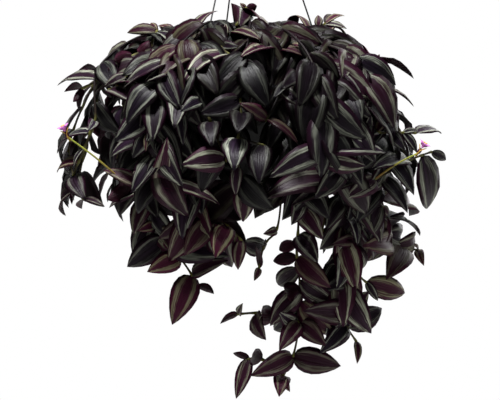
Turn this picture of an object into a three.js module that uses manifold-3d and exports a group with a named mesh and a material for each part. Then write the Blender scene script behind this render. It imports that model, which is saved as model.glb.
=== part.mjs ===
// A purple-leaved tradescantia in a plain hanging pot on a three-wire hanger.
// Millimetres, +Z up. The origin is the inner crest of the hook, where the part hangs.

import * as THREE from "three";
import { mergeVertices } from "three/addons/utils/BufferGeometryUtils.js";
import Module from "manifold-3d";

const wasm = await Module();
wasm.setup();

// Hanger
const HOOK_INNER_RADIUS = 11;
const HOOK_ROD = 5;
const HUB_RADIUS = 12;
const HUB_THICKNESS = 5;
const HUB_UNDERSIDE = -48;
const WIRE_RADIUS = 0.9;
const WIRE_HOLE_CLEARANCE = 0.45;
const WIRE_BALL_RADIUS = 2.2;
const WIRE_HUB_CIRCLE = 7;
const WIRE_RIM_CIRCLE = 92;
const WIRE_BEARINGS = { front_left: -127, right: -7, back: 113 };

// Pot and soil. Heights are measured from the rim.
const RIM_Z = -291;
const POT_HEIGHT = 120;
const POT_INNER_RADIUS = 86;
const POT_BASE_RADIUS = 62;
const POT_WALL = 2;
const POT_FLOOR = 3;
const FLANGE_RADIUS = 98;
const FLANGE_THICKNESS = 3;
const FLANGE_LIP = 9;
const FLANGE_LIP_WALL = 1.6;
const DRAIN_HOLES = 4;
const DRAIN_RADIUS = 5;
const DRAIN_CIRCLE = 38;
const SOIL_DEPTH_UNDER_RIM = 12;
const SOIL_GAP = 0.4;
const ROUND_SIDES = 26;

// Stems
const STEM_RADIUS = 1.7;
const STALK_RADIUS = 1.1;
const STEM_SIDES = 3;
const STEM_STEP = 34;
const STEM_TIP = 4;
const STEM_ROOT_DEPTH = 14;
const STEM_HOLE_RADIUS = 3.2;
const STEM_SPACING = 4.4;
const STEM_INSET = 11;
const JOINT_SPACING = 9;
const ROOT_CIRCLE = [10, 76];

// Leaves
const BLADE_THICKNESS = 1.4;
const BLADE_GAP = 0.55;
const BLADE_RATIO = 0.5;
const BLADE_SLIMMEST = 0.4;
const BLADE_STOUTEST = 0.62;
const BLADE_SHOULDER = 0.45;
const BLADE_TAPER = 1.1;
const BLADE_TIMES = { large: [0.14, 0.4, 0.74], small: [0.28, 0.64] };
const BLADE_FORMS = [
  { bow: 0.1, fold: 0.22, sway: 0.0 },
  { bow: 0.15, fold: 0.3, sway: 0.03 },
  { bow: 0.07, fold: 0.36, sway: -0.03 },
  { bow: 0.12, fold: 0.14, sway: 0.04 },
];
const LARGE_BLADE = 66;

// Flowers
const FLOWER_FORWARD = 14;
const BRACT_LENGTH = 15;
const BRACT_WIDTH = 7;
const BRACT_SPREAD = 5;
const BRACT_FORM = BLADE_FORMS[3];
const PETAL_FORM = BLADE_FORMS[0];
const CALYX_RADIUS = 2.4;
const CALYX_LENGTH = 8;
const CALYX_SEAT = 1.5;
const PETAL_GAP = 0.4;
const PETAL_CORE_RADIUS = 1.5;
const PETAL_LENGTH = 9.5;
const PETAL_WIDTH = 8.5;

// The front is laid out on an upright grid at the pot's axis: columns run to the right, rows run
// down, and one step is GRID_STEP. A place nearer the eye is drawn in towards the line of sight.
const GRID_STEP = 1.15;
const GRID_AXIS_COLUMN = 249.3;
const GRID_RIM_ROW = 75;
const EYE_COLUMN = 250;
const EYE_ROW = 200;
const EYE_DISTANCE = 2400;

// The canopy's outline: height over the rim, half width across the front, half depth.
const CANOPY = [
  [86, 90, 40],
  [69, 130, 90],
  [52, 170, 120],
  [17, 200, 165],
  [-17, 225, 190],
  [-63, 235, 205],
  [-109, 235, 205],
  [-144, 225, 190],
  [-161, 190, 160],
  [-374, 170, 135],
];

// Front stems, each with the grid places of its leaves from root to tip:
// base column, base row, tip column, tip row, width as seen, and how the leaf shows.
// F is its upper face, S a bright silvery face, D a dark face, B its underside, E its edge.
// A small letter is a young leaf. "lift" brings a stem forward of the canopy's outline.
const FRONT_STEMS = {
  leafy_stem_top_left: {
    lift: 0,
    leaves: [
      [189, 51, 175, 88, 15, "F"],
      [176, 38, 155, 33, 10, "E"],
      [163, 57, 163, 90, 16, "F"],
      [152, 52, 157, 84, 14, "F"],
      [150, 41, 138, 52, 12, "B"],
      [157, 31, 127, 33, 12, "E"],
      [152, 30, 150.5, 23, 7, "f"],
    ],
  },
  leafy_stem_far_left_upper: {
    lift: 0,
    leaves: [
      [138, 50, 114, 61, 22, "B"],
      [125, 66, 108, 70, 12, "B"],
      [93, 80, 108, 68, 13, "F"],
      [91, 82, 77, 72, 6, "b"],
      [88, 86, 57, 86, 11, "F"],
      [87, 89, 118, 116, 20, "F"],
      [83, 88, 64, 92, 8, "B"],
      [80, 93, 73, 102, 8, "b"],
    ],
  },
  leafy_stem_left_shoulder: {
    lift: 6,
    leaves: [
      [138, 58, 132, 82, 11, "F"],
      [124, 78, 104, 87, 10, "F"],
      [120, 88, 159, 94, 9, "F"],
      [109, 90, 141, 107, 15, "F"],
    ],
  },
  leafy_stem_upper_left_dome: {
    lift: 8,
    leaves: [
      [176, 88, 168, 113, 12, "F"],
      [170, 88, 174, 129, 22, "S"],
      [181, 108, 183, 146, 14, "F"],
      [158, 114, 146.5, 142, 13, "F"],
      [149, 132, 146, 152, 6, "f"],
    ],
  },
  leafy_stem_upper_left_shoot: {
    lift: -4,
    leaves: [
      [192, 33, 218, 46, 8, "F"],
      [193, 31, 218, 11, 9, "F"],
      [189, 33, 191.5, 24, 4, "f"],
    ],
  },
  leafy_stem_top_centre: {
    lift: 0,
    leaves: [
      [234, 27, 231, 3, 14, "B"],
      [242, 20, 244, 29, 6, "F"],
      [245, 14, 239, 28, 15, "F"],
      [247, 12, 268, 35, 12, "F"],
      [246, 8, 257, 6, 9, "b"],
      [245, 7, 240, 3, 7, "f"],
    ],
  },
  leafy_stem_upper_centre: {
    lift: 11,
    leaves: [
      [237, 30, 262, 41, 10, "F"],
      [222, 36, 226, 24, 11, "F"],
      [219, 42, 240, 47, 10, "F"],
      [224, 59, 183, 84, 17, "S"],
      [245, 60, 268, 80, 11, "D"],
    ],
  },
  leafy_stem_upper_centre_shoot: {
    lift: 2,
    leaves: [
      [262, 46, 226, 60, 8, "F"],
      [277, 52, 240, 58, 11, "F"],
      [283, 52, 311, 60, 9, "F"],
      [283, 47, 270, 36, 12, "F"],
      [290, 49, 322, 56, 7, "F"],
    ],
  },
  leafy_stem_upper_right: {
    lift: 0,
    leaves: [
      [282, 35, 271, 28, 8, "B"],
      [295, 35, 280, 34, 7, "S"],
      [299, 32, 281, 27, 6, "E"],
      [310, 29, 295, 15, 6, "f"],
      [317, 29, 297, 38, 14, "B"],
      [319, 28, 318, 15, 13, "F"],
      [325, 24, 347, 29, 7, "S"],
      [326, 23, 331, 14, 9, "F"],
      [328, 22, 345, 16, 6, "f"],
    ],
  },
  leafy_stem_right_shoulder: {
    lift: 0,
    leaves: [
      [322, 58, 348, 79, 18, "B"],
      [326, 50, 329, 39, 10, "B"],
      [332, 50, 349, 80, 11, "F"],
      [338, 51, 357, 49, 11, "B"],
      [345, 56, 358, 68, 8, "F"],
      [368, 64, 352, 51, 6, "E"],
      [374, 64, 414, 79, 12, "b"],
      [377, 60, 379.5, 54, 5, "f"],
    ],
  },
  leafy_stem_right_upper_side: {
    lift: 0,
    leaves: [
      [330, 79, 345, 92, 10, "F"],
      [352, 76, 392, 88, 17, "F"],
      [358, 82, 386, 89, 9, "F"],
      [370, 90, 389, 104, 12, "F"],
      [390, 90, 393, 104, 4, "E"],
      [393, 90, 414, 107, 2.5, "E"],
    ],
  },
  leafy_stem_centre_high: {
    lift: 0,
    leaves: [
      [305, 74, 336, 71, 14, "F"],
      [305, 80, 280, 90, 17, "D"],
      [285, 82, 273, 99, 10, "F"],
      [282, 90, 303, 107, 14, "F"],
    ],
    branches: [
      [
        [267, 119, 239, 103, 14, "f"],
        [269, 116, 299, 146, 9, "f"],
      ],
    ],
  },
  leafy_stem_right_dome: {
    lift: 4,
    leaves: [
      [340, 95, 322, 118, 16, "F"],
      [345, 92, 351, 127, 20, "S"],
      [312, 119, 338, 141, 16, "F"],
    ],
  },
  leafy_stem_right_side: {
    lift: 7,
    leaves: [
      [359, 127, 371, 115, 10, "F"],
      [382, 129, 364, 139, 9, "F"],
      [381, 128, 395, 107, 11, "f"],
      [388, 140, 405, 150, 15, "D"],
      [405, 127, 419, 131, 6, "F"],
      [402, 131, 417, 153, 9, "F"],
      [415, 133, 441, 134, 8, "F"],
    ],
  },
  leafy_stem_centre_front: {
    lift: 14,
    leaves: [
      [325, 146, 386, 153, 20, "F"],
      [320, 152, 269, 178, 24, "S"],
      [322, 158, 366, 166, 20, "S"],
      [319, 160, 294, 166, 9, "f"],
    ],
  },
  leafy_stem_lower_right_dome: {
    lift: 4,
    leaves: [
      [340, 178, 262, 200, 26, "D"],
      [348, 188, 290, 207, 16, "F"],
      [384, 178, 346, 198, 22, "F"],
      [390, 170, 410, 178, 9, "F"],
      [412, 158, 371, 170, 17, "F"],
      [421, 156, 427, 209, 25, "S"],
      [431, 152, 446, 160, 10, "F"],
    ],
    flower: [381, 177, 418, 153, 426, 142],
  },
  leafy_stem_centre_left: {
    lift: 2,
    leaves: [
      [240, 96, 199, 114, 22, "D"],
      [240, 108, 237, 134, 25, "D"],
      [243, 136, 234, 171, 30, "F"],
      [230, 173, 236, 196, 12, "F"],
      [243, 185, 243, 222, 28, "F"],
    ],
    branches: [
      [
        [262, 145, 259, 184, 25, "D"],
      ],
    ],
  },
  leafy_stem_left_centre: {
    lift: 8,
    leaves: [
      [195, 92, 180, 112, 14, "F"],
      [212, 117, 212, 147, 22, "D"],
      [225, 159, 181, 165, 26, "S"],
    ],
  },
  leafy_stem_left_dome_shoot: {
    lift: 2,
    leaves: [
      [144, 136, 111, 157, 15, "F"],
      [163, 138, 156, 151, 7, "F"],
      [168, 158, 147, 173, 10, "F"],
      [145, 172, 132, 173, 8, "F"],
    ],
  },
  leafy_stem_left_dome: {
    lift: 12,
    leaves: [
      [163, 183, 167, 137, 20, "F"],
      [167, 181, 220, 205, 16, "S"],
      [151, 188, 181, 202, 12, "S"],
      [145, 190, 109, 208, 15, "F"],
      [142, 187, 103, 170, 14, "F"],
      [130, 185, 105, 202, 18, "b"],
    ],
    flower: [108, 174, 68, 137, 62, 125],
  },
  leafy_stem_far_left: {
    lift: 0,
    leaves: [
      [101, 115, 88, 131, 14, "F"],
      [84, 132, 57, 154, 4, "E"],
      [88, 150, 74, 169, 5, "E"],
      [80, 162, 57, 173, 9, "f"],
      [68, 173, 86, 200, 22, "D"],
      [76, 192, 66, 216, 6, "E"],
      [84, 199, 105, 207, 7, "F"],
      [86, 202, 82, 209, 5, "B"],
    ],
  },
  leafy_stem_left_trail: {
    lift: 0,
    leaves: [
      [152, 219, 138, 231, 15, "F"],
      [160, 236, 127, 267, 26, "D"],
      [163, 241, 182, 256, 12, "F"],
      [188, 259, 147, 272, 28, "F"],
      [191, 279, 229, 260, 15, "D"],
      [191, 281, 172, 325, 27, "f"],
      [197, 286, 214, 294, 8, "b"],
    ],
  },
  leafy_stem_left_trail_inner: {
    lift: 4,
    leaves: [
      [195, 218, 158, 239, 20, "D"],
      [214, 222, 184, 256, 26, "D"],
      [227, 218, 215, 258, 26, "F"],
      [241, 240, 238, 270, 14, "F"],
    ],
  },
  leafy_stem_trail_long: {
    lift: 6,
    leaves: [
      [300, 232, 318, 263, 24, "F"],
      [294, 240, 279, 250, 12, "B"],
      [297, 260, 273, 261, 13, "B"],
      [298, 266, 331, 288, 22, "D"],
      [300, 270, 287, 293, 22, "B"],
      [303, 335, 326, 346, 20, "D"],
      [299, 340, 279, 351, 20, "F"],
      [293, 357, 341, 366, 26, "D"],
      [289, 363, 250, 376, 22, "F"],
      [283, 376, 279, 397, 18, "F"],
      [288, 371, 290, 392, 8, "f"],
    ],
    branches: [
      [
        [298, 324, 279, 312, 18, "F"],
        [281, 316, 262, 315, 21, "B"],
        [251, 310, 268, 345, 25, "D"],
        [239, 314, 243, 303, 7, "F"],
        [242, 316, 220, 324, 7, "b"],
      ],
      [
        [270, 360, 252, 357, 19, "B"],
        [249, 359, 236, 399, 15, "F"],
        [247, 358, 233, 353, 7, "b"],
      ],
    ],
  },
  leafy_stem_trail_right: {
    lift: 6,
    leaves: [
      [343, 306, 303, 311, 26, "D"],
      [340, 300, 369, 291, 22, "F"],
      [341, 329, 319, 354, 20, "F"],
      [343, 329, 349, 319, 9, "F"],
      [345, 334, 382, 308, 24, "D"],
      [356, 341, 357, 364, 8, "f"],
    ],
  },
  leafy_stem_trail_right_upper: {
    lift: 2,
    leaves: [
      [353, 217, 361, 239, 14, "F"],
      [358, 245, 331, 245, 14, "D"],
      [346, 256, 332, 286, 26, "B"],
      [351, 269, 345, 287, 10, "b"],
      [361, 278, 320, 292, 22, "D"],
      [366, 282, 405, 293, 24, "S"],
      [367, 284, 378, 301, 9, "F"],
    ],
  },
  leafy_stem_trail_far_right: {
    lift: 0,
    leaves: [
      [381, 198, 409, 216, 15, "F"],
      [378, 205, 387, 216, 7, "F"],
      [388, 217, 420, 236, 3, "E"],
      [383, 230, 373, 212, 6, "F"],
      [389, 244, 362, 246, 28, "F"],
      [402, 248, 386, 280, 28, "D"],
      [418, 250, 411, 244, 4, "f"],
      [416, 252, 424, 266, 10, "f"],
    ],
  },
  leafy_stem_trail_small: {
    lift: 0,
    leaves: [
      [291, 224, 263, 234, 9, "F"],
      [250, 240, 267, 245, 10, "F"],
      [259, 268, 255, 246, 6, "B"],
      [257, 266, 254, 281, 7, "F"],
    ],
  },
};

// Grown stems fill the back, the sides, the crown and the shaded inside of the canopy.
// "reach" is the share of the canopy's outline that a stem runs at, and heights are over the rim.
const BACK_STEMS = 11;
const BACK_FIRST_BEARING = -6;
const BACK_LAST_BEARING = 186;
const BACK_TOP = [36, 22];
const BACK_DROP = [-84, -100, -230, -180, -124, -84, -166, -132, -104, -124, -118];
const BACK_REACH = 0.78;
const BACK_END_REACH = 0.91;
const BACK_LEAN = 0.06;
const CROWN_STEMS = 5;
const CROWN_TOP = 44;
const INNER_STEMS = 6;
const INNER_FIRST_BEARING = -166;
const INNER_LAST_BEARING = -14;
const INNER_REACH = 0.72;
const INNER_DROP = -112;
const GROWN_SPACING = 31;
const GROWN_LENGTH = 57;
const GROWN_LENGTH_SPREAD = 8;
const GROWN_TIP_SCALE = [0.5, 0.72, 0.88];

// A place on the canopy that is taken is tried again with the leaf moved, rolled or made smaller:
// shift in millimetres, roll in degrees, scale.
const LEAF_TRIES = [
  [0, 0, 1],
  [-7, 0, 1],
  [7, 0, 1],
  [0, 20, 1],
  [0, -20, 1],
  [-14, 0, 1],
  [14, 10, 1],
  [-7, 25, 0.9],
  [7, -25, 0.9],
  [-20, 0, 0.9],
  [0, 40, 0.85],
  [0, -40, 0.85],
  [-12, 30, 0.75],
  [12, -30, 0.75],
  [-24, 0, 0.75],
  [22, 0, 0.75],
];

// A stem whose route is taken is tried again with its way over the rim turned, raised and rooted
// elsewhere, and after some tries with its leaves brought in or out too.
const STEM_TRIES = 90;
const LEVEL_STEM_TRIES = 30;

// Cubic millimetres of a leaf that may lie in its own stem's other leaves: freely, and at most.
const FUSE_VOLUME = 2;
const MOST_CROSSING = 40;

const COLOURS = {
  pot: 0x1a1a1c,
  soil: 0x2b2019,
  hanger: 0x161618,
  leaf: 0x4a3540,
  petal: 0xc45fc0,
};

const SOIL_Z = RIM_Z - SOIL_DEPTH_UNDER_RIM;
const UP = new THREE.Vector3(0, 0, 1);
const TO_EYE = new THREE.Vector3(0, -1, 0);

function radians(degrees) {
  return THREE.MathUtils.degToRad(degrees);
}

function polar(radius, bearing, z) {
  return new THREE.Vector3(radius * Math.cos(bearing), radius * Math.sin(bearing), z);
}

// A repeatable draw from 0 to 1 for a list of whole numbers.
function draw(...keys) {
  let hash = 2166136261;
  for (const key of keys) {
    hash = Math.imul(hash ^ key, 16777619);
    hash ^= hash >>> 13;
  }
  hash = Math.imul(hash ^ (hash >>> 15), 2246822519);
  hash ^= hash >>> 13;
  return (hash >>> 0) / 4294967296;
}

// Solids

function solidOf(geometry) {
  const bare = geometry.clone();
  bare.deleteAttribute("normal");
  bare.deleteAttribute("uv");
  const merged = mergeVertices(bare, 1e-4);
  return new wasm.Manifold(
    new wasm.Mesh({
      numProp: 3,
      vertProperties: Float32Array.from(merged.attributes.position.array),
      triVerts: Uint32Array.from(merged.index.array),
    }),
  );
}

function geometryOf(solid) {
  const mesh = solid.getMesh();
  const geometry = new THREE.BufferGeometry();
  geometry.setAttribute("position", new THREE.BufferAttribute(mesh.vertProperties, 3));
  geometry.setIndex(new THREE.BufferAttribute(mesh.triVerts, 1));
  geometry.computeVertexNormals();
  return geometry;
}

function join(solids) {
  return solids.reduce((sum, solid) => sum.add(solid));
}

// A profile of radius and height points turned about the upright axis.
function turned(profile, sides) {
  const points = profile.map(([radius, height]) => new THREE.Vector2(radius, height));
  return new THREE.LatheGeometry(points, sides).rotateX(Math.PI / 2);
}

// A path through given points, straight between them, so that a tube has a ring at each.
class PointPath extends THREE.Curve {
  constructor(points) {
    super();
    this.points = points;
  }

  getPoint(t) {
    const along = t * (this.points.length - 1);
    const index = Math.min(Math.floor(along + 1e-9), this.points.length - 2);
    return this.points[index].clone().lerp(this.points[index + 1], along - index);
  }

  getPointAt(u) {
    return this.getPoint(u);
  }

  getTangentAt(u) {
    const index = Math.round(u * (this.points.length - 1));
    const before = this.points[Math.max(index - 1, 0)];
    const after = this.points[Math.min(index + 1, this.points.length - 1)];
    return after.clone().sub(before).normalize();
  }
}

function tube(points, radius, sides) {
  const section = new THREE.Shape();
  for (let i = 0; i < sides; i += 1) {
    const angle = (2 * Math.PI * i) / sides;
    const x = radius * Math.cos(angle);
    const y = radius * Math.sin(angle);
    if (i === 0) section.moveTo(x, y);
    else section.lineTo(x, y);
  }
  return new THREE.ExtrudeGeometry(section, {
    extrudePath: new PointPath(points),
    steps: points.length - 1,
  });
}

// Smooth route through control points, with a point about every STEM_STEP and a short bare tip.
function routeThrough(controls) {
  const curve = new THREE.CatmullRomCurve3(controls, false, "centripetal");
  const last = controls.length - 1;
  const route = [controls[0].clone()];
  for (let i = 0; i < last; i += 1) {
    const gap = controls[i].distanceTo(controls[i + 1]);
    const parts = Math.max(1, Math.round(gap / STEM_STEP));
    for (let part = 1; part <= parts; part += 1) {
      route.push(curve.getPoint((i + part / parts) / last));
    }
  }
  const end = route[route.length - 1];
  const onward = end.clone().sub(route[route.length - 2]).setLength(STEM_TIP);
  route.push(end.clone().add(onward));
  return route;
}

// Canopy

function canopyAt(height) {
  let index = 0;
  while (index < CANOPY.length - 2 && height < CANOPY[index + 1][0]) index += 1;
  const [top, topWidth, topDepth] = CANOPY[index];
  const [low, lowWidth, lowDepth] = CANOPY[index + 1];
  const share = THREE.MathUtils.clamp((top - height) / (top - low), 0, 1);
  return [topWidth + (lowWidth - topWidth) * share, topDepth + (lowDepth - topDepth) * share];
}

function canopyPlace(bearing, height, reach) {
  const [halfWidth, halfDepth] = canopyAt(height);
  const radius = reach / Math.hypot(Math.cos(bearing) / halfWidth, Math.sin(bearing) / halfDepth);
  return polar(radius - STEM_INSET, bearing, RIM_Z + height);
}

function frontDepth(column, row, lift) {
  const [halfWidth, halfDepth] = canopyAt((GRID_RIM_ROW - row) * GRID_STEP);
  const across = ((column - GRID_AXIS_COLUMN) * GRID_STEP) / halfWidth;
  return -(halfDepth * Math.sqrt(Math.max(0.05, 1 - across * across)) + lift);
}

function gridPlace(column, row, depth) {
  const step = (GRID_STEP * (EYE_DISTANCE + depth)) / EYE_DISTANCE;
  const eyeX = (EYE_COLUMN - GRID_AXIS_COLUMN) * GRID_STEP;
  const eyeZ = RIM_Z - (EYE_ROW - GRID_RIM_ROW) * GRID_STEP;
  return new THREE.Vector3(
    eyeX + (column - EYE_COLUMN) * step,
    depth,
    eyeZ + (EYE_ROW - row) * step,
  );
}

// Stems

// The first try is the plain route.
function stemTry(number) {
  return {
    turn: number === 0 ? 0 : radians((((number * 7) % 13) - 6) * 3),
    rise: ((number * 5) % 4) * 9,
    root: (((number * 3) % 5) - 2) * 8,
    lift: number < LEVEL_STEM_TRIES ? 0 : ((number % 5) - 2) * 5,
  };
}

// From its hole in the soil, up, over the rim and down to the place where its leaves begin.
function approach(target, attempt) {
  const reach = Math.hypot(target.x, target.y);
  const aim = Math.atan2(target.y, target.x);
  const bearing = aim + attempt.turn;
  const height = target.z - RIM_Z;
  const rootRadius = THREE.MathUtils.clamp(0.42 * reach + attempt.root, ...ROOT_CIRCLE);
  const controls = [
    polar(rootRadius, bearing, SOIL_Z - STEM_ROOT_DEPTH),
    polar(rootRadius, bearing, SOIL_Z),
    polar(rootRadius, bearing, SOIL_Z + 12),
  ];
  if (height > 25 && reach < 150) {
    const middle = controls[2].clone().lerp(target, 0.5);
    middle.z += 8 + attempt.rise * 0.4;
    controls.push(middle);
    return controls;
  }
  const crest = Math.max(0.62 * reach, Math.min(104, reach - 14));
  const crestHeight = 24 + attempt.rise + Math.max(0, height) * 0.6;
  const half = aim + attempt.turn * 0.6;
  controls.push(polar((rootRadius + crest) / 2, half, RIM_Z + crestHeight - 4));
  controls.push(polar(crest, half, RIM_Z + crestHeight));
  if (height < -30) {
    const shoulder = Math.max(0.95 * reach, 112);
    controls.push(polar(shoulder, aim + attempt.turn * 0.25, RIM_Z - 8 + attempt.rise * 0.4));
  }
  return controls;
}

// The places where front leaves leave their stem: close ones are taken together, and the line
// through them is eased, so that the stem bends gently.
function joints(leaves, lift) {
  const places = [];
  const of = [];
  for (const [column, row] of leaves) {
    const depth = frontDepth(column, row, lift) + STEM_INSET;
    const place = gridPlace(column, row, depth);
    const last = places[places.length - 1];
    if (!last || last.distanceTo(place) > JOINT_SPACING) places.push(place);
    of.push(places.length - 1);
  }
  const eased = places.map((place, i) => {
    if (i === places.length - 1) return place;
    if (i === 0) return place.clone().lerp(places[1], 0.35);
    const beside = places[i - 1].clone().lerp(places[i + 1], 0.5);
    return place.clone().lerp(beside, 0.6);
  });
  return { places: eased, of };
}

function nearest(points, place) {
  return points.reduce((best, point) =>
    point.distanceToSquared(place) < best.distanceToSquared(place) ? point : best,
  );
}

// Every leaf that a front stem wants, as a function of the try, and the runs of its stems.
function frontPlan(spec, attempt, key) {
  const lift = spec.lift + attempt.lift;
  const main = joints(spec.leaves, lift);
  const runs = [routeThrough([...approach(main.places[0], attempt), ...main.places])];
  const leaves = spec.leaves.map((row, i) => ({ row, base: main.places[main.of[i]], lift }));
  for (const branch of spec.branches ?? []) {
    const side = joints(branch, lift - 3);
    const fork = nearest(main.places, side.places[0]);
    runs.push(routeThrough([fork, ...side.places]));
    leaves.push(...branch.map((row, i) => ({ row, base: side.places[side.of[i]], lift })));
  }
  const flower = spec.flower && flowerPlan(spec.flower, runs[0]);
  return { runs, flower, leaves: leaves.map((leaf, i) => ({ ...leaf, key: [key, i] })) };
}

// A flower stands on a thin stalk that leaves its stem at one grid place and ends at another,
// and turns its face towards a third.
function flowerPlan([column, row, endColumn, endRow, faceColumn, faceRow], run) {
  const depth = frontDepth(column, row, 0);
  const base = nearest(run, gridPlace(column, row, depth));
  const end = gridPlace(endColumn, endRow, base.y - FLOWER_FORWARD);
  const middle = base.clone().lerp(end, 0.5).add(new THREE.Vector3(0, -4, 2));
  const facing = gridPlace(faceColumn, faceRow, end.y - 3).sub(end).normalize();
  return { stalk: [base, middle, end], end, facing };
}

function segmentGap(a, b, c, d) {
  const u = b.clone().sub(a);
  const v = d.clone().sub(c);
  const w = a.clone().sub(c);
  const uu = u.dot(u);
  const uv = u.dot(v);
  const vv = v.dot(v);
  const uw = u.dot(w);
  const vw = v.dot(w);
  const spread = uu * vv - uv * uv;
  let s = spread > 1e-6 ? THREE.MathUtils.clamp((uv * vw - vv * uw) / spread, 0, 1) : 0;
  let t = vv > 1e-6 ? (uv * s + vw) / vv : 0;
  t = THREE.MathUtils.clamp(t, 0, 1);
  s = uu > 1e-6 ? THREE.MathUtils.clamp((uv * t - uw) / uu, 0, 1) : 0;
  return a.clone().addScaledVector(u, s).distanceTo(c.clone().addScaledVector(v, t));
}

function runsClear(run, others, gap) {
  for (const other of others) {
    for (let i = 0; i + 1 < run.length; i += 1) {
      for (let j = 0; j + 1 < other.length; j += 1) {
        if (segmentGap(run[i], run[i + 1], other[j], other[j + 1]) < gap) return false;
      }
    }
  }
  return true;
}

function clearOfPot(run) {
  for (let i = 0; i + 1 < run.length; i += 1) {
    for (let part = 0; part <= 4; part += 1) {
      const point = run[i].clone().lerp(run[i + 1], part / 4);
      const radius = Math.hypot(point.x, point.y);
      const height = point.z - RIM_Z;
      const beside = height < 4.5 && height > -POT_HEIGHT - 5;
      if (beside && radius > POT_INNER_RADIUS - 5 && radius < FLANGE_RADIUS + 4) return false;
      if (beside && height < -SOIL_DEPTH_UNDER_RIM && radius < FLANGE_RADIUS && i > 1) return false;
    }
  }
  return true;
}

// Leaves

// Width along the blade as a share of its widest: blunt at the base, drawn out to a fine tip.
function outlineAt(t) {
  const widest = BLADE_SHOULDER / (BLADE_SHOULDER + BLADE_TAPER);
  return (t / widest) ** BLADE_SHOULDER * ((1 - t) / (1 - widest)) ** BLADE_TAPER;
}

// A blade is a four-sided ball drawn out along its midrib: sharp edges, a folded and arched face.
// "spare" makes it larger all round.
function blade(leaf, spare) {
  const times = leaf.length > LARGE_BLADE ? BLADE_TIMES.large : BLADE_TIMES.small;
  const rings = times.length + 1;
  const geometry = new THREE.SphereGeometry(1, 4, rings);
  const position = geometry.attributes.position;
  const point = new THREE.Vector3();
  for (let i = 0; i < position.count; i += 1) {
    const fromTop = Math.acos(THREE.MathUtils.clamp(position.getY(i), -1, 1));
    const ring = Math.round((fromTop * rings) / Math.PI);
    const t = ring === 0 ? 1 : ring === rings ? 0 : times[times.length - ring];
    const across = Math.abs(position.getX(i)) > 1e-6 ? Math.sign(position.getX(i)) : 0;
    const above = Math.abs(position.getZ(i)) > 1e-6 ? Math.sign(position.getZ(i)) : 0;
    const halfWidth = t > 0 && t < 1 ? (outlineAt(t) * leaf.width) / 2 + spare * 1.8 : 0;
    const arch = 4 * t * (1 - t) * leaf.length;
    const lift = leaf.form.bow * arch + Math.abs(across) * leaf.form.fold * halfWidth;
    point.copy(leaf.base);
    point.addScaledVector(leaf.axis, t * leaf.length + (t === 1 ? spare * 2 : 0));
    point.addScaledVector(leaf.side, leaf.form.sway * arch + across * halfWidth);
    point.addScaledVector(leaf.normal, lift + above * (BLADE_THICKNESS / 2 + spare));
    position.setXYZ(i, point.x, point.y, point.z);
  }
  return geometry;
}

function leafFrame(base, tip, facing, roll, width, form) {
  const axis = tip.clone().sub(base);
  const length = axis.length();
  axis.divideScalar(length);
  const flat = facing.clone().addScaledVector(axis, -facing.dot(axis)).normalize();
  const normal = flat.clone().multiplyScalar(Math.cos(roll));
  normal.addScaledVector(axis.clone().cross(flat), Math.sin(roll));
  const side = axis.clone().cross(normal);
  return { base, axis, side, normal, length, width, form };
}

// A front leaf: its tip keeps its place on the grid, and its tilt gives the width that shows.
function frontLeaf({ row, base, lift, key }, [shift, extraRoll, scale]) {
  const [column, line, tipColumn, tipLine, seenWidth, shows] = row;
  const seen = GRID_STEP * Math.hypot(tipColumn - column, tipLine - line);
  const wide = GRID_STEP * seenWidth;
  const full = Math.max(seen, wide / 0.52);
  const toward = Math.min(0.5 * full, Math.sqrt(full * full - seen * seen)) * 0.7;
  const depth = frontDepth(tipColumn, tipLine, lift) - toward + shift;
  const tip = gridPlace(tipColumn, tipLine, depth).lerp(base, 1 - scale);
  const length = tip.distanceTo(base);
  const narrow = BLADE_SLIMMEST * length;
  const width = THREE.MathUtils.clamp(wide * scale, narrow, BLADE_STOUTEST * length);
  const edge = Math.acos(Math.min(1, (wide * scale) / width));
  const facing = shows.toUpperCase() === "B" ? TO_EYE.clone().negate() : TO_EYE;
  const form = BLADE_FORMS[Math.floor(draw(...key, 5) * BLADE_FORMS.length)];
  const turns = [edge, -edge].map((roll) =>
    leafFrame(base, tip, facing, roll + radians(extraRoll), width, form),
  );
  return turns[0].normal.z >= turns[1].normal.z ? turns[0] : turns[1];
}

// A grown stem runs down the canopy from one height to another, wandering a little.
function grownPlan(spec, attempt, key) {
  const steps = Math.max(1, Math.round(Math.abs(spec.top - spec.drop) / 34));
  const controls = [];
  for (let i = 0; i <= steps; i += 1) {
    const height = spec.top + ((spec.drop - spec.top) * i) / steps;
    const bearing = radians(spec.bearing + (draw(key, i, 11) - 0.5) * 9);
    const share = spec.reach + ((spec.endReach - spec.reach) * i) / steps;
    const reach = share * (1 - 0.06 * draw(key, i, 12));
    const place = canopyPlace(bearing, height, reach);
    place.addScaledVector(polar(1, bearing, 0), attempt.lift);
    controls.push(place);
  }
  const run = routeThrough([...approach(controls[0], attempt), ...controls]);
  return { runs: [run], leaves: grownLeaves(run, controls[0], spec, key) };
}

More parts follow.
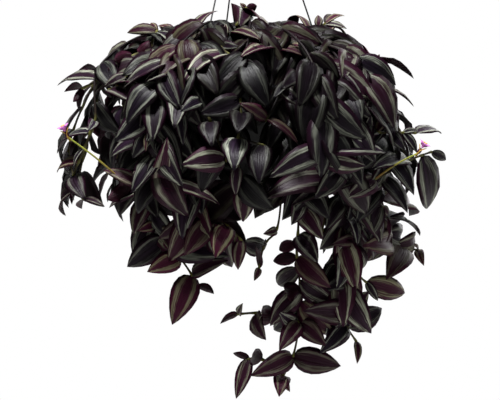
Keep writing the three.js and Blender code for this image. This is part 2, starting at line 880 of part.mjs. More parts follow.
// Leaves stand alternately on both hands of a grown stem, smaller towards its tip.
function grownLeaves(run, first, spec, key) {
  const lengths = [0];
  for (let i = 1; i < run.length; i += 1) {
    lengths.push(lengths[i - 1] + run[i].distanceTo(run[i - 1]));
  }
  const total = lengths[lengths.length - 2];
  const start = lengths[run.findIndex((point) => point.distanceTo(first) < 0.01)] - spec.early;
  const count = Math.max(2, Math.round((total - start) / GROWN_SPACING));
  const leaves = [];
  for (let i = 0; i <= count; i += 1) {
    const distance = start + ((total - start) * i) / count;
    let index = lengths.findIndex((length) => length >= distance - 1e-6);
    index = Math.max(1, index === -1 ? lengths.length - 1 : index);
    const span = lengths[index] - lengths[index - 1];
    const base = run[index - 1].clone().lerp(run[index], (distance - lengths[index - 1]) / span);
    const tangent = run[index].clone().sub(run[index - 1]).normalize();
    const fromTip = count - i;
    const taper = GROWN_TIP_SCALE[fromTip] ?? 1;
    const size = (GROWN_LENGTH + (2 * draw(key, i, 21) - 1) * GROWN_LENGTH_SPREAD) * taper;
    leaves.push({ base, tangent, hand: i % 2 ? 1 : -1, size, last: fromTip === 0, key: [key, i] });
  }
  return leaves;
}

function grownLeaf({ base, tangent, hand, size, last, key }, [shift, extraRoll, scale]) {
  const outward = new THREE.Vector3(base.x, base.y, 0).normalize();
  const height = base.z - RIM_Z;
  const tilt = THREE.MathUtils.clamp((height + 90) / 130, 0.15, 1.2);
  const facing = outward.clone().addScaledVector(UP, tilt).normalize();
  const across = tangent.clone().cross(facing).normalize().multiplyScalar(hand);
  const direction = across.multiplyScalar(last ? 0.15 : 0.62 + 0.4 * draw(...key, 31));
  direction.addScaledVector(tangent, last ? 1 : 0.3 + 0.4 * draw(...key, 32));
  direction.addScaledVector(UP, -0.2 - 0.35 * draw(...key, 33));
  direction.addScaledVector(outward, 0.12);
  direction.normalize().multiplyScalar(size * scale).addScaledVector(facing, shift);
  const tip = base.clone().addScaledVector(direction.normalize(), size * scale);
  const form = BLADE_FORMS[Math.floor(draw(...key, 5) * BLADE_FORMS.length)];
  const roll = radians(extraRoll + (draw(...key, 34) - 0.5) * 50);
  return leafFrame(base, tip, facing, roll, BLADE_RATIO * size * scale, form);
}

// Stalk, two bracts and a calyx, all in the stem's own node.
function flowerStalk({ stalk, end, facing }) {
  const across = facing.clone().cross(TO_EYE).normalize();
  const start = end.clone().addScaledVector(facing, -BRACT_LENGTH * 0.35);
  const bracts = [-1, 1].map((hand) => {
    const tip = start.clone().addScaledVector(facing, BRACT_LENGTH);
    tip.addScaledVector(across, hand * BRACT_SPREAD);
    const inward = across.clone().multiplyScalar(-hand);
    return solidOf(blade(leafFrame(start, tip, inward, 0, BRACT_WIDTH, BRACT_FORM), 0));
  });
  const calyx = new THREE.SphereGeometry(1, 4, 3);
  calyx.scale(CALYX_RADIUS, CALYX_LENGTH / 2, CALYX_RADIUS);
  const upright = new THREE.Vector3(0, 1, 0);
  calyx.applyQuaternion(new THREE.Quaternion().setFromUnitVectors(upright, facing));
  const middle = end.clone().addScaledVector(facing, CALYX_LENGTH / 2 - CALYX_SEAT);
  calyx.translate(middle.x, middle.y, middle.z);
  return [solidOf(tube(stalk, STALK_RADIUS, STEM_SIDES)), solidOf(calyx), ...bracts];
}

// Three petals round a small core, just clear of the calyx.
function flowerPetals({ end, facing }) {
  const forward = CALYX_LENGTH - CALYX_SEAT + PETAL_GAP + PETAL_CORE_RADIUS;
  const heart = end.clone().addScaledVector(facing, forward);
  const across = facing.clone().cross(TO_EYE).normalize();
  const petals = [0, 1, 2].map((i) => {
    const spread = across.clone().applyAxisAngle(facing, (2 * Math.PI * i) / 3 + 0.5);
    const tip = heart.clone().addScaledVector(spread, PETAL_LENGTH * 0.86);
    tip.addScaledVector(facing, PETAL_LENGTH * 0.5);
    return solidOf(blade(leafFrame(heart, tip, facing, 0, PETAL_WIDTH, PETAL_FORM), 0));
  });
  const core = new THREE.OctahedronGeometry(PETAL_CORE_RADIUS);
  return join([solidOf(core.translate(heart.x, heart.y, heart.z)), ...petals]);
}

// Stems over the crown and down the sides and back.
function outerStems() {
  const specs = {};
  for (let i = 0; i < CROWN_STEMS; i += 1) {
    specs[`leafy_stem_crown_${i + 1}`] = {
      bearing: 20 + (360 * i) / CROWN_STEMS,
      top: CROWN_TOP - 24 - 12 * draw(i, 41),
      drop: CROWN_TOP + 8 * draw(i, 42),
      reach: 0.36,
      endReach: 0.66,
      early: 26,
    };
  }
  for (let i = 0; i < BACK_STEMS; i += 1) {
    const bearing = THREE.MathUtils.lerp(BACK_FIRST_BEARING, BACK_LAST_BEARING, i / (BACK_STEMS - 1));
    const lean = -BACK_LEAN * Math.cos(THREE.MathUtils.degToRad(bearing));
    specs[`leafy_stem_back_${i + 1}`] = {
      bearing,
      top: BACK_TOP[i % BACK_TOP.length],
      drop: BACK_DROP[i % BACK_DROP.length] - 20 * draw(i, 43),
      reach: BACK_REACH + lean,
      endReach: BACK_END_REACH + lean,
      early: 30,
    };
  }
  return specs;
}

// Stems that hang just inside the front ones and close the gaps between them.
function innerStems() {
  const specs = {};
  for (let i = 0; i < INNER_STEMS; i += 1) {
    const share = i / (INNER_STEMS - 1);
    specs[`leafy_stem_inner_${i + 1}`] = {
      bearing: THREE.MathUtils.lerp(INNER_FIRST_BEARING, INNER_LAST_BEARING, share),
      top: 20,
      drop: INNER_DROP - 20 * draw(i, 44),
      reach: INNER_REACH,
      endReach: INNER_REACH,
      early: 0,
    };
  }
  return specs;
}

// Pot, soil and hanger

function wireEnds(bearing) {
  const top = polar(WIRE_HUB_CIRCLE, bearing, HUB_UNDERSIDE + HUB_THICKNESS);
  const low = polar(WIRE_RIM_CIRCLE, bearing, RIM_Z - FLANGE_THICKNESS);
  const along = low.clone().sub(top).normalize();
  const reach = WIRE_BALL_RADIUS + WIRE_HOLE_CLEARANCE;
  return [top.addScaledVector(along, -reach), low.addScaledVector(along, reach)];
}

function wireTube(bearing, radius, sides) {
  const [top, low] = wireEnds(bearing);
  return solidOf(tube([top, low], radius, sides));
}

function ball(centre, radius) {
  return solidOf(new THREE.SphereGeometry(radius, 6, 4).translate(centre.x, centre.y, centre.z));
}

function wire(bearing) {
  const [top, low] = wireEnds(bearing);
  const balls = [top, low].map((centre) => ball(centre, WIRE_BALL_RADIUS));
  return join([wireTube(bearing, WIRE_RADIUS, 6), ...balls]);
}

function wireHoles() {
  return Object.values(WIRE_BEARINGS).map((bearing) =>
    wireTube(radians(bearing), WIRE_RADIUS + WIRE_HOLE_CLEARANCE, 6),
  );
}

function pot() {
  const floorZ = RIM_Z - POT_HEIGHT;
  const shell = solidOf(
    turned(
      [
        [0, floorZ],
        [POT_BASE_RADIUS, floorZ],
        [POT_INNER_RADIUS + POT_WALL, RIM_Z - FLANGE_THICKNESS],
        [FLANGE_RADIUS - FLANGE_LIP_WALL, RIM_Z - FLANGE_THICKNESS],
        [FLANGE_RADIUS - FLANGE_LIP_WALL, RIM_Z - FLANGE_LIP],
        [FLANGE_RADIUS, RIM_Z - FLANGE_LIP],
        [FLANGE_RADIUS, RIM_Z],
        [POT_INNER_RADIUS, RIM_Z],
        [POT_BASE_RADIUS - POT_WALL, floorZ + POT_FLOOR],
        [0, floorZ + POT_FLOOR],
      ],
      ROUND_SIDES,
    ),
  );
  const drains = [];
  for (let i = 0; i < DRAIN_HOLES; i += 1) {
    const centre = polar(DRAIN_CIRCLE, (2 * Math.PI * (i + 0.5)) / DRAIN_HOLES, floorZ);
    const drain = new THREE.CylinderGeometry(DRAIN_RADIUS, DRAIN_RADIUS, 3 * POT_FLOOR, 8);
    drains.push(solidOf(drain.rotateX(Math.PI / 2).translate(centre.x, centre.y, centre.z)));
  }
  return [...wireHoles(), ...drains].reduce((body, hole) => body.subtract(hole), shell);
}

function soil(roots) {
  const floorZ = RIM_Z - POT_HEIGHT + POT_FLOOR + SOIL_GAP;
  const slope = (POT_INNER_RADIUS - POT_BASE_RADIUS + POT_WALL) / (POT_HEIGHT - POT_FLOOR);
  const radiusAt = (z) => POT_BASE_RADIUS - POT_WALL - 2 * SOIL_GAP + slope * (z - floorZ);
  const body = solidOf(
    turned(
      [
        [0, floorZ],
        [radiusAt(floorZ), floorZ],
        [radiusAt(SOIL_Z - 2), SOIL_Z - 2],
        [0, SOIL_Z],
      ],
      ROUND_SIDES,
    ),
  );
  const depth = 2 * (STEM_ROOT_DEPTH + 1);
  return roots.reduce((ground, { x, y }) => {
    const hole = new THREE.CylinderGeometry(STEM_HOLE_RADIUS, STEM_HOLE_RADIUS, depth, 4);
    return ground.subtract(solidOf(hole.rotateX(Math.PI / 2).translate(x, y, SOIL_Z)));
  }, body);
}

function hangerHook() {
  const bend = HOOK_INNER_RADIUS + HOOK_ROD / 2;
  const centreZ = -HOOK_INNER_RADIUS;
  const points = [
    new THREE.Vector3(bend + 1.5, 0, centreZ - 9),
    new THREE.Vector3(bend, 0, centreZ - 3),
  ];
  const arcSteps = 8;
  for (let i = 0; i <= arcSteps; i += 1) {
    const angle = (Math.PI * 1.12 * i) / arcSteps;
    points.push(new THREE.Vector3(bend * Math.cos(angle), 0, centreZ + bend * Math.sin(angle)));
  }
  points.push(new THREE.Vector3(-bend * 0.45, 0, centreZ - bend * 1.05));
  points.push(new THREE.Vector3(0, 0, HUB_UNDERSIDE + HUB_THICKNESS + 9));
  points.push(new THREE.Vector3(0, 0, HUB_UNDERSIDE + 1));
  const rod = solidOf(tube(points, HOOK_ROD / 2, 6));
  const disc = new THREE.CylinderGeometry(HUB_RADIUS, HUB_RADIUS, HUB_THICKNESS, 16);
  const hub = solidOf(disc.rotateX(Math.PI / 2).translate(0, 0, HUB_UNDERSIDE + HUB_THICKNESS / 2));
  return wireHoles().reduce((body, hole) => body.subtract(hole), rod.add(hub));
}

// Room that the leaves leave round the pot.
function potRoom() {
  const spare = 1.5;
  return solidOf(
    turned(
      [
        [0, RIM_Z - POT_HEIGHT - spare],
        [POT_BASE_RADIUS + spare, RIM_Z - POT_HEIGHT - spare],
        [FLANGE_RADIUS + spare, RIM_Z - FLANGE_LIP - spare],
        [FLANGE_RADIUS + spare, RIM_Z + spare],
        [0, RIM_Z + spare],
      ],
      ROUND_SIDES,
    ),
  );
}

// Choosing each stem's route and each leaf's place

function boxOf(points, spare) {
  const box = new THREE.Box3().setFromPoints(points);
  return box.expandByScalar(spare);
}

function boxOfSolid(solid) {
  const { min, max } = solid.boundingBox();
  return new THREE.Box3(new THREE.Vector3(...min), new THREE.Vector3(...max));
}

function runBoxes(run, radius) {
  return run.slice(1).map((point, i) => boxOf([run[i], point], radius));
}

const placed = [];

function overlapVolume(solid, other) {
  const shared = solid.intersect(other);
  const volume = shared.isEmpty() ? 0 : shared.volume();
  shared.delete();
  return volume;
}

function near(entry, box) {
  return entry.boxes.some((other) => other.intersectsBox(box));
}

// How much of a leaf crosses its own stem's other leaves, or Infinity where it is in the way of
// another stem.
function crossing(leaf, owner) {
  const room = solidOf(blade(leaf, BLADE_GAP));
  const roomBox = boxOfSolid(room);
  const close = placed.filter((entry) => near(entry, roomBox));
  const others = close.filter((entry) => entry.owner !== owner);
  const clear = others.every((entry) => overlapVolume(room, entry.solid) === 0);
  room.delete();
  if (!clear) return Infinity;
  const body = solidOf(blade(leaf, 0));
  const own = close.filter((entry) => entry.owner === owner && !entry.stem);
  const volume = own.reduce((sum, entry) => sum + overlapVolume(body, entry.solid), 0);
  body.delete();
  return volume;
}

// The first try that crosses nothing, or else the one that crosses least.
function chooseLeaf(make, leaf, owner) {
  let best = null;
  let least = MOST_CROSSING;
  for (const attempt of LEAF_TRIES) {
    const made = make(leaf, attempt);
    const volume = crossing(made, owner);
    if (volume < least) {
      least = volume;
      best = made;
    }
    if (least < FUSE_VOLUME) break;
  }
  if (!best) return null;
  const solid = solidOf(blade(best, 0));
  placed.push({ solid, owner, boxes: [boxOfSolid(solid)] });
  return solid;
}

const colour = (value, roughness) =>
  new THREE.MeshStandardMaterial({ color: value, roughness, metalness: 0 });

const group = new THREE.Group();

function addNode(name, solid, material) {
  const mesh = new THREE.Mesh(geometryOf(solid), material);
  mesh.name = name;
  group.add(mesh);
}

const hangerRuns = Object.values(WIRE_BEARINGS).map((bearing) => wireEnds(radians(bearing)));
addNode("pot", pot(), colour(COLOURS.pot, 0.5));
addNode("hanger_hook", hangerHook(), colour(COLOURS.hanger, 0.45));
Object.entries(WIRE_BEARINGS).forEach(([name, bearing]) => {
  const solid = wire(radians(bearing));
  addNode(`hanger_wire_${name}`, solid, colour(COLOURS.hanger, 0.35));
  placed.push({ solid, owner: name, boxes: [boxOfSolid(solid)] });
});
const room = potRoom();
placed.push({ solid: room, owner: "pot", boxes: [boxOfSolid(room)] });

// Routes first, the longest front stem's before the rest, then the front leaves, then the grown ones.
const plans = [];
const takenRuns = [];
const asGrown = ([name, spec]) => ({ name, spec, plan: grownPlan, make: grownLeaf });
const asFront = ([name, spec]) => ({ name, spec, plan: frontPlan, make: frontLeaf });
const fronts = Object.entries(FRONT_STEMS).map(asFront);
const longest = fronts.reduce((a, b) => (a.spec.leaves.length > b.spec.leaves.length ? a : b));
const stems = [
  longest,
  ...Object.entries(innerStems()).map(asGrown),
  ...fronts.filter((entry) => entry !== longest),
  ...Object.entries(outerStems()).map(asGrown),
];

stems.forEach(({ name, spec, plan, make }, key) => {
  const taken = [...takenRuns, ...hangerRuns];
  for (let number = 0; number < STEM_TRIES; number += 1) {
    const made = plan(spec, stemTry(number), key + 1);
    if (made.runs.every((run) => clearOfPot(run) && runsClear(run, taken, STEM_SPACING))) {
      takenRuns.push(...made.runs);
      plans.push({ ...made, name, make });
      return;
    }
  }
  throw new Error(`no way over the rim is free for ${name}`);
});

for (const entry of plans) {
  entry.tubes = entry.runs.map((run) => solidOf(tube(run, STEM_RADIUS, STEM_SIDES)));
  entry.tubes.forEach((solid, i) => {
    const boxes = runBoxes(entry.runs[i], STEM_RADIUS);
    placed.push({ solid, owner: entry.name, stem: true, boxes });
  });
  if (!entry.flower) continue;
  const stalk = flowerStalk(entry.flower);
  stalk.forEach((solid) => {
    placed.push({ solid, owner: entry.name, stem: true, boxes: [boxOfSolid(solid)] });
  });
  entry.tubes.push(...stalk);
  const petals = flowerPetals(entry.flower);
  const name = entry.name.replace("leafy_stem", "flower_petals");
  placed.push({ solid: petals, owner: name, boxes: [boxOfSolid(petals)] });
  addNode(name, petals, colour(COLOURS.petal, 0.6));
}

plans.sort((a, b) => Number(b.make === frontLeaf) - Number(a.make === frontLeaf));
for (const { name, make, tubes, leaves } of plans) {
  const blades = leaves.map((leaf) => chooseLeaf(make, leaf, name)).filter(Boolean);
  addNode(name, join([...tubes, ...blades]), colour(COLOURS.leaf, 0.5));
}
addNode("soil", soil(plans.map(({ runs }) => runs[0][0])), colour(COLOURS.soil, 1));

export default group;
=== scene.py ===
"""A striped, purple-leaved tradescantia in a hanging pot, dressed for a studio picture."""

import itertools
import math

import bpy
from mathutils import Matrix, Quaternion, Vector
from mathutils.kdtree import KDTree


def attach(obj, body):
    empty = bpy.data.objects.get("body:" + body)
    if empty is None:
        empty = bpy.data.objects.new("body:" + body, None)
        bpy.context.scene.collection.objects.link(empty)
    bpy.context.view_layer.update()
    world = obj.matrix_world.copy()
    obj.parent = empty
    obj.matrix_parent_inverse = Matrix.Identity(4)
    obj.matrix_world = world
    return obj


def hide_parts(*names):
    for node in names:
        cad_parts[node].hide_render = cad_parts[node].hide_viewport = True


bl_info = {
    "name": "Hanging Tradescantia", "version": (1, 0, 0), "blender": (4, 5, 0),
    "location": "View3D > Sidebar > Tradescantia",
    "description": "Builds the leafy stems, flowers, pot, soil, hanger and studio", "category": "Object"
}

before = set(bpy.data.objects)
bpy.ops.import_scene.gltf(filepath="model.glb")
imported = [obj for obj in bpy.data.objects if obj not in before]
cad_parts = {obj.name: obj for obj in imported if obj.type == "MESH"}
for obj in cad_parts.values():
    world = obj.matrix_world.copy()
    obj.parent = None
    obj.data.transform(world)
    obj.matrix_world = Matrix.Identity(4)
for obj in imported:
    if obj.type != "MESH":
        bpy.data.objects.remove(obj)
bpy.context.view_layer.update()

MM = 0.001
UP = Vector((0, 0, 1))
TO_EYE = Vector((0, -1, 0))

# Hanger, in millimetres. The origin is the inner crest of the hook.
HOOK_INNER_RADIUS = 11
HOOK_ROD = 5
HOOK_TURN = math.pi * 1.12
# How far out and down the hook's open end reaches, and its neck as shares of the bend.
HOOK_END = ((1.5, 9), (0, 3))
HOOK_NECK = (0.45, 1.05)
HUB_RADIUS = 12
HUB_THICKNESS = 5
HUB_UNDERSIDE = -48
WIRE_RADIUS = 0.9
WIRE_HOLE_CLEARANCE = 0.45
HOLE_SIDES = 24
WIRE_BALL_RADIUS = 2.2
WIRE_BALL_RINGS = 12
WIRE_HUB_CIRCLE = 7
WIRE_RIM_CIRCLE = 92
WIRE_BEARINGS = {"front_left": -127, "right": -7, "back": 113}

# Pot and soil
RIM_Z = -291
POT_HEIGHT = 120
POT_INNER_RADIUS = 86
POT_BASE_RADIUS = 62
POT_WALL = 2
POT_FLOOR = 3
FLANGE_RADIUS = 98
FLANGE_THICKNESS = 3
FLANGE_LIP = 9
FLANGE_LIP_WALL = 1.6
DRAIN_HOLES = 4
DRAIN_RADIUS = 5
DRAIN_CIRCLE = 38
SOIL_DEPTH_UNDER_RIM = 12
SOIL_GAP = 0.4
SOIL_Z = RIM_Z - SOIL_DEPTH_UNDER_RIM
SOIL_RINGS = 26
SOIL_CROWN = 2.6
SOIL_LUMPS = 1.6
# Radius and height of the pot's section, from the middle of its underside round to its inner floor.
POT_PROFILE = [
    (0, RIM_Z - POT_HEIGHT + 2), (POT_BASE_RADIUS - 7, RIM_Z - POT_HEIGHT + 2),
    (POT_BASE_RADIUS - 6, RIM_Z - POT_HEIGHT), (POT_BASE_RADIUS - 1, RIM_Z - POT_HEIGHT),
    (POT_BASE_RADIUS, RIM_Z - POT_HEIGHT + 1), (POT_BASE_RADIUS + 12.5, RIM_Z - 60),
    (POT_BASE_RADIUS + 13.1, RIM_Z - 59.2), (POT_INNER_RADIUS + POT_WALL, RIM_Z - FLANGE_THICKNESS),
    (FLANGE_RADIUS - FLANGE_LIP_WALL, RIM_Z - FLANGE_THICKNESS),
    (FLANGE_RADIUS - FLANGE_LIP_WALL, RIM_Z - FLANGE_LIP), (FLANGE_RADIUS, RIM_Z - FLANGE_LIP),
    (FLANGE_RADIUS, RIM_Z - 1.2), (FLANGE_RADIUS - 1.2, RIM_Z), (POT_INNER_RADIUS + 1, RIM_Z),
    (POT_INNER_RADIUS, RIM_Z - 1), (POT_BASE_RADIUS - POT_WALL, RIM_Z - POT_HEIGHT + POT_FLOOR + 1),
    (0, RIM_Z - POT_HEIGHT + POT_FLOOR + 1)
]

# Stems
STEM_RADIUS = 1.7
STEM_STEP = 34
STEM_TIP = 4
STEM_ROOT_DEPTH = 14
STEM_INSET = 11
JOINT_SPACING = 9
JOINT_EASE = 0.6
ROOT_EASE = 0.35
BRANCH_INSET = 3
# The root, as a share of how far out the leaves begin, within the soil, and its upright stretch.
ROOT_SHARE = 0.42
ROOT_CIRCLE = (10, 76)
ROOT_RISE = 12
# A stem whose leaves begin higher and nearer than this only arches up to them.
CROWN_STEM_HEIGHT = 25
CROWN_STEM_REACH = 150
CROWN_STEM_RISE = 8
# The others cross the rim at a crest. Those whose leaves begin lower than OUTSIDE_HEIGHT also bend
# down over a shoulder. The turn and the rise of a try count for less there.
CREST_SHARE = 0.62
CREST_REACH = 104
CREST_INSET = 14
CREST_RISE = 24
CREST_FOLLOW = 0.6
CREST_TURN = 0.6
CREST_LEAD = 4
OUTSIDE_HEIGHT = -30
SHOULDER_SHARE = 0.95
SHOULDER_REACH = 112
SHOULDER_TURN = 0.25
SHOULDER_DROP = 8
RISE_SHARE = 0.4
# Rings of a drawn stem, how far along it and by how much a joint swells and pales, and how the stem
# thins, turns green towards its tip and takes painted shade in the hollow.
STEM_RING_STEP = 6
JOINT_LENGTH = 4.5
JOINT_SWELLING = 0.65
JOINT_PALENESS = 0.75
STEM_THINNING = (0.95, 0.62)
STEM_END = 0.4
STEM_GREEN_FROM = 0.55
STEM_GREEN = 0.7
STEM_HOLLOW_PAINTED_SHADE = 0.7

# Leaves
BLADE_RATIO = 0.5
BLADE_SLIMMEST = 0.4
BLADE_STOUTEST = 0.62
# Shoulder and taper of the faceted blade's outline and of the smooth one's, which is a little fuller
# past the middle.
BLADE_OUTLINE = (0.45, 1.1)
FINE_OUTLINE = (0.5, 0.92)
BLADE_QUILT = 0.13
BLADE_RIPPLE = 0.05
BLADE_RIPPLES = 2.3
BLADE_TIMES = {"large": (0.14, 0.4, 0.74), "small": (0.28, 0.64)}
LARGE_BLADE = 66
# Bow, fold and sway: how much a blade arches, how steeply its halves rise, how far it curves aside.
BLADE_FORMS = [(0.1, 0.22, 0.0), (0.15, 0.3, 0.03), (0.07, 0.36, -0.03), (0.12, 0.14, 0.04)]
# Stations of the smooth blade along it and across it.
BLANK_STATIONS = (0, 0.05, 0.14, 0.27, 0.42, 0.58, 0.74, 0.89, 1)
BLANK_ACROSS = (-1, -0.55, 0, 0.55, 1)
# What the points of a leafy stem and of the blank blade hold while the piece is built.
STEM_ATTRIBUTES = {
    "is_blade": "BOOLEAN", "base": "FLOAT_VECTOR", "axis": "FLOAT_VECTOR", "side": "FLOAT_VECTOR",
    "normal": "FLOAT_VECTOR", "size": "FLOAT_VECTOR", "form": "FLOAT_VECTOR", "thick": "FLOAT"
}
BLANK_ATTRIBUTES = {"blank": "FLOAT_VECTOR", "relief": "FLOAT"}

# Flowers
FLOWER_FORWARD = 14
FLOWER_LEAN = 3
STALK_BOW = (0, -4, 2)
BRACT_LENGTH = 15
BRACT_WIDTH = 7
BRACT_SPREAD = 5
BRACT_BACK = 0.35
CALYX_RADIUS = 2.4
CALYX_LENGTH = 8
CALYX_SEAT = 1.5
PETAL_GAP = 0.4
PETAL_CORE_RADIUS = 1.5
PETAL_LENGTH = 9.5
PETAL_WIDTH = 8.5
PETAL_OPENING = (0.86, 0.5)
STALK_RADII = (1.15, 0.85)
STAMENS = 6
STAMEN_LENGTH = 5.5
STAMEN_LEAN = 0.35
ANTHER = (0.8, 0.55)

# The upright grid at the pot's axis on which the front is laid out, and the eye's place on it.
GRID_STEP = 1.15
GRID_AXIS_COLUMN = 249.3
GRID_RIM_ROW = 75
EYE_COLUMN = 250
EYE_ROW = 200
EYE_DISTANCE = 2400
FRAME_COLUMNS = 500
FRONT_FLATTEST = 0.05

# The studio floor is a round sheet of paper. Each light has its place from the middle of the foliage,
# this far under the rim, and its size, both in metres.
LIT_UNDER_RIM = 60
FLOOR_RADIUS = 5200
FLOOR_SIDES = 64
SENSOR_WIDTH = 36
LIGHTS = {
    "key_light": ((-0.4, -0.8, 2.0), 0.6), "fill_light": ((1.6, -1.4, 0.3), 1.4),
    "back_light": ((1.0, 1.5, 0.8), 2.2)
}

# The canopy's outline: height over the rim, half width across the front, half depth.
CANOPY = [
    (86, 90, 40), (69, 130, 90), (52, 170, 120), (17, 200, 165), (-17, 225, 190), (-63, 235, 205),
    (-109, 235, 205), (-144, 225, 190), (-161, 190, 160), (-374, 170, 135)
]

